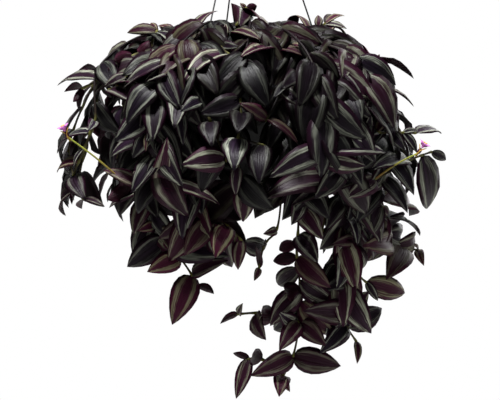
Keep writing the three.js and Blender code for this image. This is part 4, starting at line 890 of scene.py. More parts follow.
def all_plans():
    """Every leafy stem of the frame with its route and its leaves, in growing order."""
    fronts = [(spot, spec, front_plan, front_leaf) for spot, spec in FRONT_STEMS.items()]
    longest = max(fronts, key=lambda entry: len(entry[1]["leaves"]))
    inner = [(spot, spec, grown_plan, grown_leaf) for spot, spec in inner_stems().items()]
    outer = [(spot, spec, grown_plan, grown_leaf) for spot, spec in outer_stems().items()]
    order = [longest, *inner, *(entry for entry in fronts if entry is not longest), *outer]
    plans = []
    for key, (spot, spec, plan, make) in enumerate(order, 1):
        corners = node_corners(f"leafy_stem_{spot}")
        made = built_plan(corners, plan, spec, key)
        made.update(spot=spot, key=key, bare=spec.get("bare", False), blades=[])
        for leaf in made["leaves"]:
            blade = built_leaf(corners, make, leaf)
            if blade:
                blade.update(tone=leaf_tone(leaf, blade), seed=draw(*leaf["key"], 61))
                made["blades"].append(blade)
        plans.append(made)
    return plans


# Tones. The first letter says how a leaf shows: F plain face, S bright silvery face, D face in
# painted shade, B underside, E edge. A small letter is a young leaf.


def seen_at(point):
    """The column and row of a point on the placing grid, seen straight from the front."""
    return point.x / GRID_STEP + GRID_AXIS_COLUMN, GRID_RIM_ROW - (point.z - RIM_Z) / GRID_STEP


def hollow_at(point):
    """How deep in the shaded hollow a point of the front is, from 0 to 1."""
    if point.y > 0:
        return 0
    across, down = (
        (value - middle) / spread for value, middle, spread in zip(seen_at(point), HOLLOW, HOLLOW_SPREAD)
    )
    return math.exp(-(across**2) - down**2)


def wine_share(blade):
    """How wine-coloured the leaves are: most at the crown and on the trails."""
    height = blade["base"].z - RIM_Z
    return WINE_MOST * clamp((abs(height - WINE_LEAST_HEIGHT) - WINE_FREE) / WINE_RISE, WINE_LEAST, 1)


def crown_share(point):
    """How near the crown a point is, from 0 well below the rim to 1 above it."""
    return clamp((point.z - RIM_Z - CROWN_FROM) / CROWN_RISE, 0, 1)


def trail_share(point):
    """How far down the trails of the front a point is, from 0 to 1."""
    return clamp((RIM_Z - TRAIL_FROM - point.z) / TRAIL_RISE, 0, 1) if point.y < 0 else 0


def own_tone(leaf, blade):
    """Youth, silver and shade of a leaf of the frame, the hollow left out. A power of a draw makes
    high values rarer."""
    youth, silver, shade = (draw(*leaf["key"], number) for number in (62, 63, 64))
    wine = wine_share(blade)
    if "row" in leaf:
        shows = leaf["row"][5]
        young = YOUNG_PLACED if shows.islower() else wine * youth
        # Painted shade: a leaf marked D gets a darker colour and dim stripes.
        dark = PLACED_SHADE if shows == "D" else PLACED_SHADE * shade**1.5
        return young, SHOWN_SILVER.get(shows, mix(*PLACED_SILVER, silver)), dark
    # Painted light: towards the crown, grown leaves get stronger stripes and less shade.
    crown = crown_share(blade["base"])
    young = YOUNG_TIP if leaf["last"] else GROWN_WINE * wine * youth ** (2 - crown)
    return young, mix(*GROWN_SILVER, silver ** (1.5 - 0.7 * crown)), mix(*GROWN_SHADE, shade ** (1 + crown))


def leaf_tone(leaf, blade):
    """Youth, silver and shade of a leaf, each from 0 to 1. The hollow adds painted shade: a darker colour
    and dimmer stripes.
    """
    young, silver, shade = own_tone(leaf, blade)
    hollow = hollow_at(blade_point(blade, 0.5, 0))
    return young, silver * (1 - HOLLOW_PAINTED_SHADE * hollow), clamp(shade + HOLLOW_PAINTED_SHADE * hollow, 0, 1)


# Filling leaves. The real plant has more leaves than the frame's solids, most of them inside.


class Room:
    """Keeps the sample points of placed blades, so that a new one can be put clear of them."""

    def __init__(self, cell):
        self.cell = cell
        self.cells = {}

    def place(self, point):
        return tuple(math.floor(value / self.cell) for value in point)

    def add(self, points):
        for point in points:
            self.cells.setdefault(self.place(point), []).append(point)

    def clear(self, points, gap):
        for point in points:
            spans = [(value - 1, value, value + 1) for value in self.place(point)]
            for cell in itertools.product(*spans):
                if any((other - point).length < gap for other in self.cells.get(cell, ())):
                    return False
        return True


def blade_samples(leaf):
    """Points spread over a blade. The fifth is at its middle."""
    return [blade_point(leaf, t, side) for t in (0.25, 0.5, 0.75, 0.97) for side in (-0.8, 0, 0.8)]


def allowed(points, least):
    """Behind the canopy's outline, or not further out than least, and outside the pot."""
    for point in points:
        height = point.z - RIM_Z
        front, left = point.y < 0, point.x < 0
        column, row = seen_at(point)
        limit = FILL_REACH + FILL_BULGE * clamp(-point.y / FILL_BULGE_DEPTH, 0, 1)
        limit += FILL_TRAIL_BULGE * trail_share(point) - HOLLOW_INSET * hollow_at(point)
        side = (FILL_SIDE_LEFT if left else FILL_SIDE_RIGHT) - FILL_SIDE_SLOPE * max(height, 0)
        if (
            reach_of(point) > max(limit, least)
            or not (FILL_LOWEST_LEFT if left else FILL_LOWEST_RIGHT) < height < FILL_TOP
            or height > (FILL_SIDE_FLOOR if front else 0) and abs(point.x) > side
            or front and any(math.hypot(column - x, row - y) < radius for x, y, radius in OPENINGS)
            or -POT_HEIGHT - FILL_POT_GAP < height < FILL_POT_GAP
            and math.hypot(point.x, point.y) < FLANGE_RADIUS + FILL_POT_GAP
        ):
            return False
    return True


def filling_tone(key, blade, middle, hug):
    """Youth, silver and shade of a filling leaf, each from 0 to 1, with painted shade deep inside and in the
    hollow and painted light on the crown, the trails and where it hugs its stem.
    """
    crown = crown_share(middle)
    # Painted shade from depth and the hollow; painted light from the crown, the trails and hugging: stronger
    # stripes and less shade.
    signs = {
        "start": 1, "hug": hug, "crown": crown, "trail": trail_share(middle), "hollow": hollow_at(middle),
        "depth": 2 * clamp(1 - reach_of(middle), 0, 0.5)
    }
    silver, shade = (
        clamp(sum(share * {**signs, "draw": chance}[name] for name, share in shares.items()), 0, 1)
        for shares, chance in ((FILL_SILVER, draw(*key, 63)), (FILL_SHADE, draw(*key, 64)))
    )
    return wine_share(blade) * draw(*key, 62) ** (2 - crown), silver, shade


def filling_leaves(plan, room, spacing, size):
    """Extra leaves along a stem, between those of the frame and inside the canopy."""
    made = []
    bases = [leaf["base"] for leaf in plan["blades"]]
    for number, controls in enumerate(plan["runs"]):
        run = route_through(controls, STEM_RING_STEP)
        walked, wanted, count = 0, spacing * FILL_FIRST, 0
        for before, after in zip(run, run[1:]):
            walked += (after - before).length
            in_pot = after.z < SOIL_Z + FILL_SOIL_GAP and math.hypot(after.x, after.y) < FLANGE_RADIUS
            if walked < wanted or in_pot:
                continue
            count += 1
            key = (plan["key"], FILL_KEYS[0] + FILL_KEYS[1] * number + count)
            uneven, varied = (
                1 - FILL_VARIATION + 2 * FILL_VARIATION * draw(*key, index) for index in (71, 72)
            )
            wanted = walked + spacing * uneven
            gap = min(((base - after).length for base in bases), default=FILL_HUG_GAP)
            crowded = gap < mix(FILL_BASE_GAP, FILL_TRAIL_BASE_GAP, trail_share(after))
            if crowded or plan["bare"] and after.z < RIM_Z + BARE_BELOW:
                continue
            front = clamp(-after.y / FILL_TURN_DEPTH, 0, 1)
            hug = clamp(gap / FILL_HUG_GAP - FILL_HUG_FROM, 0, 1) * front
            hug *= 1 - FILL_HUG_CROWN * crown_share(after)
            leaf = {
                "base": after, "tangent": (after - before).normalized(), "hand": 1 if count % 2 else -1,
                "size": size * varied, "ratio": FILL_RATIO, "last": False, "key": key,
                "toward": TO_EYE * (FILL_TURN * front), "splay": 1 - FILL_CLOSE * hug * draw(*key, 73)
            }
            least = reach_of(after) + FILL_HUG_REACH if hug > FILL_HUGS else 0
            for attempt in FILL_TRIES if hug > FILL_HUGS else FILL_TRIES[FILL_OUTER_TRIES:]:
                blade = grown_leaf(leaf, attempt)
                samples = blade_samples(blade)
                if allowed(samples, least) and room.clear(samples, FILL_GAP):
                    blade["tone"] = filling_tone(key, blade, samples[4], hug)
                    blade["seed"] = draw(*key, 61)
                    room.add(samples)
                    made.append(blade)
                    break
    return made


# Nodes and materials


def feed(tree, node, feeds):
    """Links or sets inputs by name or number. A node given stands for its first output in use."""
    for key, value in feeds.items():
        if isinstance(value, bpy.types.Node):
            value = next(socket for socket in value.outputs if socket.enabled)
        if isinstance(value, bpy.types.NodeSocket):
            tree.links.new(value, node.inputs[key])
        else:
            node.inputs[key].default_value = value


def add(tree, kind, feeds=None, **settings):
    """A node with its settings and inputs."""
    made = tree.nodes.new(kind)
    for key, value in settings.items():
        setattr(made, key, value)
    feed(tree, made, feeds or {})
    return made


def linear(code):
    """An sRGB hex value as a linear colour with full cover."""
    parts = [int(code[i : i + 2], 16) / 255 for i in (1, 3, 5)]
    return (*(c / 12.92 if c <= 0.04045 else ((c + 0.055) / 1.055) ** 2.4 for c in parts), 1.0)


def material(name):
    """A material with its node tree and surface node."""
    made = bpy.data.materials.new(name)
    made.use_nodes = True
    tree = made.node_tree
    return made, tree, next(n for n in tree.nodes if n.type == "BSDF_PRINCIPLED")


def leaf_material(colours):
    """Waxy variegated leaf: a dark midrib zone and purple rim with two silvery stripes between,
    whose edges are feathered along the side veins; wine-coloured beneath. The wax gives a soft,
    broad gloss."""
    made, tree, surface = material("waxy_variegated_leaf")
    place, tone, seed = (
        add(tree, "ShaderNodeAttribute", attribute_name=name) for name in ("blade_place", "tone", "seed")
    )
    t, u, face = add(tree, "ShaderNodeSeparateXYZ", {0: place.outputs["Vector"]}).outputs
    young, silver, shade = add(tree, "ShaderNodeSeparateXYZ", {0: tone.outputs["Vector"]}).outputs
    off_rib = add(tree, "ShaderNodeMath", {0: u}, operation="ABSOLUTE")

    # Long veins run from base to tip, about 1 mm apart across a 25 mm leaf, and broad clouds lie over
    # them. Both fray the stripes, and the stripes of some leaves lie nearer to the rib.
    spot = add(tree, "ShaderNodeCombineXYZ", {0: t, 1: u, 2: seed.outputs["Fac"]})
    veins, clouds = (
        add(tree, "ShaderNodeTexNoise", {
            "Vector": add(tree, "ShaderNodeMapping", {"Vector": spot, "Scale": stretch}), "Scale": scale,
            "Detail": 3.0
        })
        for stretch, scale in (((1.0, 5.5, 40.0), 1.6), ((2.2, 1.6, 30.0), 1.5))
    )
    frayed = off_rib
    for noise, amount in ((veins, 0.17), (clouds, 0.07)):
        shift = add(tree, "ShaderNodeMapRange", {
            "Value": noise, "From Min": 0.3, "From Max": 0.7, "To Min": -amount, "To Max": amount
        })
        frayed = add(tree, "ShaderNodeMath", {0: frayed, 1: shift}, operation="ADD")
    nearer = {0: seed.outputs["Fac"], 1: 0.16, 2: frayed}
    frayed = add(tree, "ShaderNodeMath", nearer, operation="MULTIPLY_ADD")

    # The zones from the midrib out, and how strong and light the stripes are.
    inner, outer, rim = (
        add(tree, "ShaderNodeMapRange", {
            "Value": frayed, "From Min": begin, "From Max": end, "To Min": at_begin, "To Max": 1.0 - at_begin
        }, interpolation_type="SMOOTHSTEP")
        for begin, end, at_begin in ((0.34, 0.64, 0.0), (0.7, 0.84, 1.0), (0.64, 1.0, 0.0))
    )
    strength = add(tree, "ShaderNodeMapRange", {"Value": silver, "To Min": 0.3, "To Max": 1.0})
    stripe = add(tree, "ShaderNodeMath", {0: inner, 1: outer}, operation="MULTIPLY")
    stripe = add(tree, "ShaderNodeMath", {0: stripe, 1: strength}, operation="MULTIPLY")
    streaky, patchy = (
        add(tree, "ShaderNodeMapRange", {"Value": noise, "From Min": low, "From Max": high})
        for noise, low, high in ((veins, 0.34, 0.66), (clouds, 0.3, 0.7))
    )
    lightness = add(tree, "ShaderNodeMath", {0: streaky, 1: patchy}, operation="ADD")
    outward = add(tree, "ShaderNodeMapRange", {
        "Value": frayed, "From Min": 0.44, "From Max": 0.74, "To Min": 0.22, "To Max": 0.66
    })
    lightness = add(tree, "ShaderNodeMath", {0: lightness, 1: outward}, operation="MULTIPLY")
    is_upper = add(tree, "ShaderNodeMath", {0: face, 1: 0.01}, operation="GREATER_THAN")

    # Each row mixes two colours, or earlier rows, into a row of its own name.
    mixed = {}
    for name, amount, low, high in (
        ("band", lightness, colours.stripe_dim, colours.stripe_bright),
        ("band", young, "band", colours.young_stripe),
        ("ground", streaky, colours.midrib_dark, colours.midrib),
        ("ground", rim, "ground", colours.rim),
        ("ground", young, "ground", colours.young),
        ("upper", stripe, "ground", "band"),
        ("under", lightness, colours.under_dark, colours.under_light),
        ("skin", is_upper, "under", "upper"),
    ):
        low, high = (mixed[colour] if isinstance(colour, str) else colour for colour in (low, high))
        mixed[name] = add(tree, "ShaderNodeMix", {0: amount, 6: low, 7: high}, data_type="RGBA")
    # Painted shade: each leaf's shade value darkens its colour, down to a tenth.
    dim = add(tree, "ShaderNodeMapRange", {"Value": shade, "To Min": 1.0, "To Max": 0.1})
    shaded = {0: 1.0, 6: mixed["skin"], 7: dim}
    skin = add(tree, "ShaderNodeMix", shaded, data_type="RGBA", blend_type="MULTIPLY")
    bump = add(tree, "ShaderNodeBump", {"Strength": 0.6, "Distance": 0.0012, "Height": veins})
    gloss = add(tree, "ShaderNodeMapRange", {"Value": clouds, "To Min": 0.3, "To Max": 0.5})
    feed(tree, surface, {"Base Color": skin, "Normal": bump, "Roughness": gloss, "Specular IOR Level": 0.11})
    return made


def stem_material():
    """Fleshy stem: smooth skin with fine lengthwise streaks, slightly glossy with sap."""
    made, tree, surface = material("fleshy_stem_skin")
    tint = add(tree, "ShaderNodeAttribute", attribute_name="tint").outputs["Color"]
    where = add(tree, "ShaderNodeTexCoord").outputs["Object"]
    streaks = add(tree, "ShaderNodeTexNoise", {"Vector": where, "Scale": 260.0, "Detail": 2.0})
    amount = add(tree, "ShaderNodeMapRange", {"Value": streaks, "To Min": 0.65, "To Max": 1.25})
    feeds = {0: 1.0, 6: tint, 7: amount}
    skin = add(tree, "ShaderNodeMix", feeds, data_type="RGBA", blend_type="MULTIPLY")
    feed(tree, surface, {"Base Color": skin, "Roughness": 0.55, "Specular IOR Level": 0.15})
    return made


def petal_material(name, throat, edge):
    """Thin petal or bract: matt, paler or darker towards its edge, with faint veins."""
    made, tree, surface = material(name)
    place = add(tree, "ShaderNodeAttribute", attribute_name="blade_place").outputs["Vector"]
    along, aside, _ = add(tree, "ShaderNodeSeparateXYZ", {0: place}).outputs
    across = add(tree, "ShaderNodeMath", {0: aside}, operation="ABSOLUTE")
    veins = add(tree, "ShaderNodeTexNoise", {"W": aside, "Scale": 9.0}, noise_dimensions="1D")
    share = add(tree, "ShaderNodeMath", {0: across, 1: veins}, operation="MULTIPLY")
    share = add(tree, "ShaderNodeMath", {0: along, 1: 0.7, 2: share}, operation="MULTIPLY_ADD")
    skin = add(tree, "ShaderNodeMix", {0: share, 6: throat, 7: edge}, data_type="RGBA")
    feed(tree, surface, {"Base Color": skin, "Roughness": 0.6})
    return made


def moulded_plastic_material(colour, dusty):
    """Moulded polypropylene: even colour, fine satin grain and dusty patches."""
    made, tree, surface = material("moulded_polypropylene")
    where = add(tree, "ShaderNodeTexCoord").outputs["Object"]
    dust = add(tree, "ShaderNodeTexNoise", {"Vector": where, "Scale": 22.0, "Detail": 5.0})
    grain = add(tree, "ShaderNodeTexNoise", {"Vector": where, "Scale": 1600.0})
    patches = {"Value": dust, "From Min": 0.5, "From Max": 0.8, "To Max": 0.3}
    lift = add(tree, "ShaderNodeMapRange", patches)
    skin = add(tree, "ShaderNodeMix", {0: lift, 6: colour, 7: dusty}, data_type="RGBA")
    rough = add(tree, "ShaderNodeMapRange", {"Value": dust, "To Min": 0.42, "To Max": 0.62})
    bump = add(tree, "ShaderNodeBump", {"Strength": 0.3, "Distance": 0.0002, "Height": grain})
    feed(tree, surface, {"Base Color": skin, "Roughness": rough, "Normal": bump, "Specular IOR Level": 0.3})
    return made


def soil_material(dark, light):
    """Peat potting mix: matt dark crumbs from about 1 to 4 mm with paler fibres."""
    made, tree, surface = material("peat_potting_mix")
    where = add(tree, "ShaderNodeTexCoord").outputs["Object"]
    crumbs = add(tree, "ShaderNodeTexVoronoi", {"Vector": where, "Scale": 380.0})
    patches = add(tree, "ShaderNodeTexNoise", {"Vector": where, "Scale": 90.0, "Detail": 6.0})
    share = add(tree, "ShaderNodeMapRange", {"Value": patches, "From Min": 0.35, "From Max": 0.75})
    skin = add(tree, "ShaderNodeMix", {0: share, 6: dark, 7: light}, data_type="RGBA")
    bump = add(tree, "ShaderNodeBump", {"Strength": 0.8, "Distance": 0.002, "Height": crumbs})
    feed(tree, surface, {"Base Color": skin, "Normal": bump, "Roughness": 0.95})
    return made


def coated_wire_material(dark, light):
    """Powder-coated steel wire: near-black with a fine orange-peel satin."""
    made, tree, surface = material("powder_coated_steel")
    where = add(tree, "ShaderNodeTexCoord").outputs["Object"]
    peel = add(tree, "ShaderNodeTexNoise", {"Vector": where, "Scale": 900.0})
    skin = add(tree, "ShaderNodeMix", {0: peel, 6: dark, 7: light}, data_type="RGBA")
    bump = add(tree, "ShaderNodeBump", {"Strength": 0.2, "Distance": 0.0002, "Height": peel})
    feed(tree, surface, {"Base Color": skin, "Normal": bump, "Roughness": 0.45, "Specular IOR Level": 0.3})
    return made


def backdrop_material(low, high):
    """Matt white studio paper, lit evenly from behind as far as the eye sees it, which throws no
    light upwards."""
    made, tree, surface = material("white_studio_paper")
    where = add(tree, "ShaderNodeTexCoord").outputs["Object"]
    fibres = add(tree, "ShaderNodeTexNoise", {"Vector": where, "Scale": 40.0})
    skin = add(tree, "ShaderNodeMix", {0: fibres, 6: low, 7: high}, data_type="RGBA")
    away = add(tree, "ShaderNodeVectorMath", {0: where}, operation="LENGTH")
    falloff = {"Value": away, "From Min": 1.6, "From Max": 4.6, "To Min": 0.62, "To Max": 1.2}
    strength = add(tree, "ShaderNodeMapRange", falloff)
    seen = add(tree, "ShaderNodeLightPath").outputs["Is Camera Ray"]
    glow = add(tree, "ShaderNodeMath", {0: seen, 1: strength}, operation="MULTIPLY")
    feed(tree, surface, {
        "Base Color": skin, "Emission Color": skin, "Emission Strength": glow, "Roughness": 0.9
    })
    return made


# Meshes


def mesh_object(name, points, edges=(), faces=()):
    """A new object from points in millimetres."""
    mesh = bpy.data.meshes.new(name)
    mesh.from_pydata([tuple(Vector(point) * MM) for point in points], edges, faces)
    made = bpy.data.objects.new(name, mesh)
    bpy.context.scene.collection.objects.link(made)
    return made


def store(mesh, name, values, kind="FLOAT_VECTOR"):
    """A value for each point of a mesh."""
    data = mesh.attributes.new(name, kind, "POINT").data
    if kind == "FLOAT_VECTOR":
        data.foreach_set("vector", [c for value in values for c in value])
    else:
        data.foreach_set("value", values)


def shade_smooth(made, degrees=180):
    """Smooth faces with sharp edges where the surface turns by more than the angle."""
    made.data.polygons.foreach_set("use_smooth", [True] * len(made.data.polygons))
    if degrees < 180:
        made.data.set_sharp_from_angle(angle=math.radians(degrees))


def revolved(name, profile, sides):
    """A closed profile of radius and height turned about the upright axis."""
    points, faces, rings = [], [], []
    for radius, height in profile:
        if radius == 0:
            rings.append([len(points)] * sides)
            points.append((0, 0, height))
        else:
            rings.append([len(points) + i for i in range(sides)])
            points += [polar(radius, 2 * math.pi * i / sides, height) for i in range(sides)]
    for low, high in zip(rings, rings[1:]):
        for i in range(sides):
            j = (i + 1) % sides
            corners = [low[i], low[j], high[j], high[i]]
            faces.append([c for n, c in enumerate(corners) if c not in corners[:n]])
    return mesh_object(name, points, faces=faces)


def settle(made):
    """The evaluated mesh in place of the modifiers."""
    graph = bpy.context.evaluated_depsgraph_get()
    mesh = bpy.data.meshes.new_from_object(made.evaluated_get(graph), depsgraph=graph)
    made.modifiers.clear()
    old = made.data
    made.data = mesh
    mesh.name = made.name
    bpy.data.meshes.remove(old)


def new_tree(name, sockets):
    """Geometry nodes with input sockets of the kinds given, and the outputs of their group input."""
    tree = bpy.data.node_groups.new(name, "GeometryNodeTree")
    for label, kind in {"Geometry": "Geometry", **sockets}.items():
        tree.interface.new_socket(label, in_out="INPUT", socket_type=f"NodeSocket{kind}")
    tree.interface.new_socket("Geometry", in_out="OUTPUT", socket_type="NodeSocketGeometry")
    return tree, add(tree, "NodeGroupInput").outputs


def apply_tree(made, tree, values):
    """The tree's result in place of the mesh, its inputs set by the identifiers of their sockets."""
    change = made.modifiers.new(tree.name, "NODES")
    change.node_group = tree
    for item in tree.interface.items_tree:
        if item.in_out == "INPUT" and item.name in values:
            change[item.identifier] = values[item.name]
    settle(made)


def blade_blank():
    """A flat blade of both faces, which share their edge, with the relief that it gets later."""
    places, faces, index = [], [], {}
    last, side = len(BLANK_STATIONS) - 1, len(BLANK_ACROSS) - 1

    def corner(i, j, face):
        t, u = BLANK_STATIONS[i], BLANK_ACROSS[j]
        if i in (0, last):
            j, u, face = 0, 0, 0
        elif j in (0, side):
            face = 0
        if (i, j, face) not in index:
            index[i, j, face] = len(places)
            places.append((t, u, face))
        return index[i, j, face]

    for face, i, j in itertools.product((1, -1), range(last), range(side)):
        ring = [corner(i + a, j + b, face) for a, b in ((0, 0), (1, 0), (1, 1), (0, 1))]
        # Both faces are cut along the same diagonal, so that they keep apart.
        halves = (ring[:3], ring[2:] + ring[:1])
        if j >= len(BLANK_ACROSS) // 2:
            halves = (ring[:2] + ring[3:], ring[1:])
        faces += [half[::-1] if face > 0 else half for half in halves if len(set(half)) == 3]
    shape = [(t, u * outline_at(t, *FINE_OUTLINE), f * (1 - abs(u) ** 3)) for t, u, f in places]
    # Each half of the blade is quilted up between rib and edge, and the edge ripples a little.
    relief = []
    for t, u, _ in places:
        quilt = BLADE_QUILT * math.sin(math.pi * abs(u))
        ripple = BLADE_RIPPLE * abs(u) ** 3 * math.sin(math.tau * (BLADE_RIPPLES * t + 0.15 * u))
        relief.append(outline_at(t, *FINE_OUTLINE) * (quilt + ripple))
    made = mesh_object("blade_blank", [(t / MM, y / MM, f) for t, y, f in shape], faces=faces)
    store(made.data, "blank", shape)
    store(made.data, "relief", relief, "FLOAT")
    store(made.data, "blade_place", places)
    return made


def plant_tree():
    """Geometry nodes for one leafy stem. Its loose points become blades and its lines stems."""
    tree, source = new_tree("Leafy stem", {
        "Blade Blank": "Object", "Stem Sides": "Int", "Blade Finish": "Material", "Stem Finish": "Material"
    })
    named = {
        name: add(tree, "GeometryNodeInputNamedAttribute", {"Name": name}, data_type=kind)
        for name, kind in {**STEM_ATTRIBUTES, **BLANK_ATTRIBUTES}.items()
    }
    parted = add(tree, "GeometryNodeSeparateGeometry", {
        "Geometry": source["Geometry"], "Selection": named["is_blade"]
    }, domain="POINT")
    blank = add(tree, "GeometryNodeObjectInfo", {"Object": source["Blade Blank"]})
    blades = add(tree, "GeometryNodeInstanceOnPoints", {
        "Points": parted.outputs["Selection"], "Instance": blank.outputs["Geometry"]
    })
    blades = add(tree, "GeometryNodeRealizeInstances", {"Geometry": blades})

    # The blade's own rule: along its axis, aside by its width and sway, up by its bow and fold.
    blank_x, blank_y, blank_z, length, width, thickness, bow, fold, sway = (
        socket
        for name in ("blank", "size", "form")
        for socket in add(tree, "ShaderNodeSeparateXYZ", {0: named[name]}).outputs
    )
    along = add(tree, "ShaderNodeMath", {0: blank_x, 1: length}, operation="MULTIPLY")
    rest = add(tree, "ShaderNodeMath", {0: 1.0, 1: blank_x}, operation="SUBTRACT")
    arch = add(tree, "ShaderNodeMath", {0: along, 1: rest}, operation="MULTIPLY")
    arch = add(tree, "ShaderNodeMath", {0: arch, 1: 4.0}, operation="MULTIPLY")
    half = add(tree, "ShaderNodeMath", {0: width, 1: 0.5}, operation="MULTIPLY")
    off_rib = add(tree, "ShaderNodeMath", {0: blank_y, 1: half}, operation="MULTIPLY")
    spread = add(tree, "ShaderNodeMath", {0: off_rib}, operation="ABSOLUTE")
    aside = add(tree, "ShaderNodeMath", {0: sway, 1: arch, 2: off_rib}, operation="MULTIPLY_ADD")
    rise = add(tree, "ShaderNodeMath", {0: bow, 1: arch}, operation="MULTIPLY")
    for share, amount in ((fold, spread), (named["relief"], half), (blank_z, thickness)):
        rise = add(tree, "ShaderNodeMath", {0: share, 1: amount, 2: rise}, operation="MULTIPLY_ADD")
    point = named["base"]
    for direction, amount in (("axis", along), ("side", aside), ("normal", rise)):
        step = add(tree, "ShaderNodeVectorMath", {0: named[direction], "Scale": amount}, operation="SCALE")
        point = add(tree, "ShaderNodeVectorMath", {0: point, 1: step}, operation="ADD")
    blades = add(tree, "GeometryNodeSetPosition", {"Geometry": blades, "Position": point})

    lines = add(tree, "GeometryNodeMeshToCurve", {"Mesh": parted.outputs["Inverted"]})
    ring = add(tree, "GeometryNodeCurvePrimitiveCircle", {"Resolution": source["Stem Sides"], "Radius": 1.0})
    stems = add(tree, "GeometryNodeCurveToMesh", {
        "Curve": lines, "Profile Curve": ring, "Scale": named["thick"], "Fill Caps": True
    })
    whole = add(tree, "GeometryNodeJoinGeometry")
    for part in (blades, stems):
        feed(tree, whole, {0: part})
    whole = add(tree, "GeometryNodeSetShadeSmooth", {"Geometry": whole})
    is_stem = add(tree, "FunctionNodeBooleanMath", {0: named["is_blade"]}, operation="NOT")
    whole = add(tree, "GeometryNodeRealizeInstances", {"Geometry": whole})
    for chosen, finish in ((True, "Blade Finish"), (is_stem, "Stem Finish")):
        whole = add(tree, "GeometryNodeSetMaterial", {
            "Geometry": whole, "Selection": chosen, "Material": source[finish]
        })
    add(tree, "NodeGroupOutput", {0: whole})
    return tree


def plant_piece(name, blades, lines, tree, values, thickness):
    """One mesh piece from blades and lines. A line is a list of place, radius and colour."""
    spots = [blade["base"] for blade in blades]
    edges = []
    thick = [0.0] * len(blades)
    tint = [(0, 0, 0)] * len(blades)
    for line in lines:
        edges += [(len(spots) + i, len(spots) + i + 1) for i in range(len(line) - 1)]
        for place, radius, colour in line:
            spots.append(place)
            thick.append(radius * MM)
            tint.append(colour)
    made = mesh_object(name, spots, edges=edges)
    mesh = made.data
    rest = len(spots) - len(blades)
    nil = [(0, 0, 0)] * rest
    store(mesh, "is_blade", [True] * len(blades) + [False] * rest, "BOOLEAN")
    store(mesh, "base", [blade["base"] * MM for blade in blades] + nil)
    for direction in ("axis", "side", "normal", "form", "tone"):
        store(mesh, direction, [blade[direction] for blade in blades] + nil)
    sizes = [(blade["length"] * MM, blade["width"] * MM, thickness / 2) for blade in blades]
    store(mesh, "size", sizes + nil)
    store(mesh, "seed", [blade["seed"] for blade in blades] + [0.0] * rest, "FLOAT")
    store(mesh, "thick", thick, "FLOAT")
    store(mesh, "tint", tint)
    apply_tree(made, tree, values)
    for spare in {**STEM_ATTRIBUTES, **BLANK_ATTRIBUTES}:
        if spare in made.data.attributes:
            made.data.attributes.remove(made.data.attributes[spare])
    return made


# Pot and hanger helpers


def wire_ends(bearing):
    """Centres of a wire's two balls, over the hub and under the flange."""
    top = polar(WIRE_HUB_CIRCLE, bearing, HUB_UNDERSIDE + HUB_THICKNESS)
    low = polar(WIRE_RIM_CIRCLE, bearing, RIM_Z - FLANGE_THICKNESS)
    along = (low - top).normalized()
    reach = WIRE_BALL_RADIUS + WIRE_HOLE_CLEARANCE
    return top - along * reach, low + along * reach


def wire_spans(top, low):
    """A wire's places and radii, with a ball at each end."""
    along = (low - top).normalized()
    spans = []
    for start, sign in ((0, 1), ((low - top).length, -1)):
        for i in range(WIRE_BALL_RINGS):
            angle = math.pi * i / WIRE_BALL_RINGS
            off = -math.cos(angle) * WIRE_BALL_RADIUS
            radius = max(WIRE_BALL_RADIUS * math.sin(angle), WIRE_RADIUS if off > 0 else 0.02)
            spans.append((start + sign * off, radius))
    spans.sort(key=lambda span: span[0])
    return [(top + along * distance, radius) for distance, radius in spans]


def cylinder(low, high, radius, sides):
    """Points and faces of a closed cylinder between two places."""
    along = (high - low).normalized()
    across = along.orthogonal().normalized()
    points = [
        end + (Quaternion(along, 2 * math.pi * i / sides) @ across) * radius
        for end in (low, high)
        for i in range(sides)
    ]
    faces = [(i, (i + 1) % sides, sides + (i + 1) % sides, sides + i) for i in range(sides)]
    return points, faces + [tuple(reversed(range(sides))), tuple(range(sides, 2 * sides))]


def cut_holes(made, holes):
    """Cuts round holes, each from one place to another, with a radius."""
    points, faces = [], []
    for low, high, radius in holes:
        more, sides = cylinder(low, high, radius, HOLE_SIDES)
        faces += [tuple(len(points) + corner for corner in face) for face in sides]
        points += more
    cutter = mesh_object("hole_cutter", points, faces=faces)
    change = made.modifiers.new("Holes", "BOOLEAN")
    change.operation, change.solver, change.object = "DIFFERENCE", "EXACT", cutter
    settle(made)
    bpy.data.objects.remove(cutter)


def rod_tree():
    """Geometry nodes for a round rod along a line of points that hold its radius."""
    tree, source = new_tree("Round rod", {"Sides": "Int", "Finish": "Material"})
    thick = add(tree, "GeometryNodeInputNamedAttribute", {"Name": "thick"}, data_type="FLOAT")
    line = add(tree, "GeometryNodeMeshToCurve", {"Mesh": source["Geometry"]})
    ring = add(tree, "GeometryNodeCurvePrimitiveCircle", {"Resolution": source["Sides"], "Radius": 1.0})
    rod = add(tree, "GeometryNodeCurveToMesh", {
        "Curve": line, "Profile Curve": ring, "Scale": thick, "Fill Caps": True
    })
    rod = add(tree, "GeometryNodeRealizeInstances", {"Geometry": rod})
    rod = add(tree, "GeometryNodeSetMaterial", {"Geometry": rod, "Material": source["Finish"]})
    add(tree, "NodeGroupOutput", {0: rod})
    return tree


def rod_piece(name, spans, tree, sides, finish):
    """A round rod along places that each have a radius."""
    edges = [(i, i + 1) for i in range(len(spans) - 1)]
    made = mesh_object(name, [place for place, _ in spans], edges=edges)
    store(made.data, "thick", [radius * MM for _, radius in spans], "FLOAT")
    apply_tree(made, tree, {"Sides": sides, "Finish": finish})
    shade_smooth(made, 50)
    return made


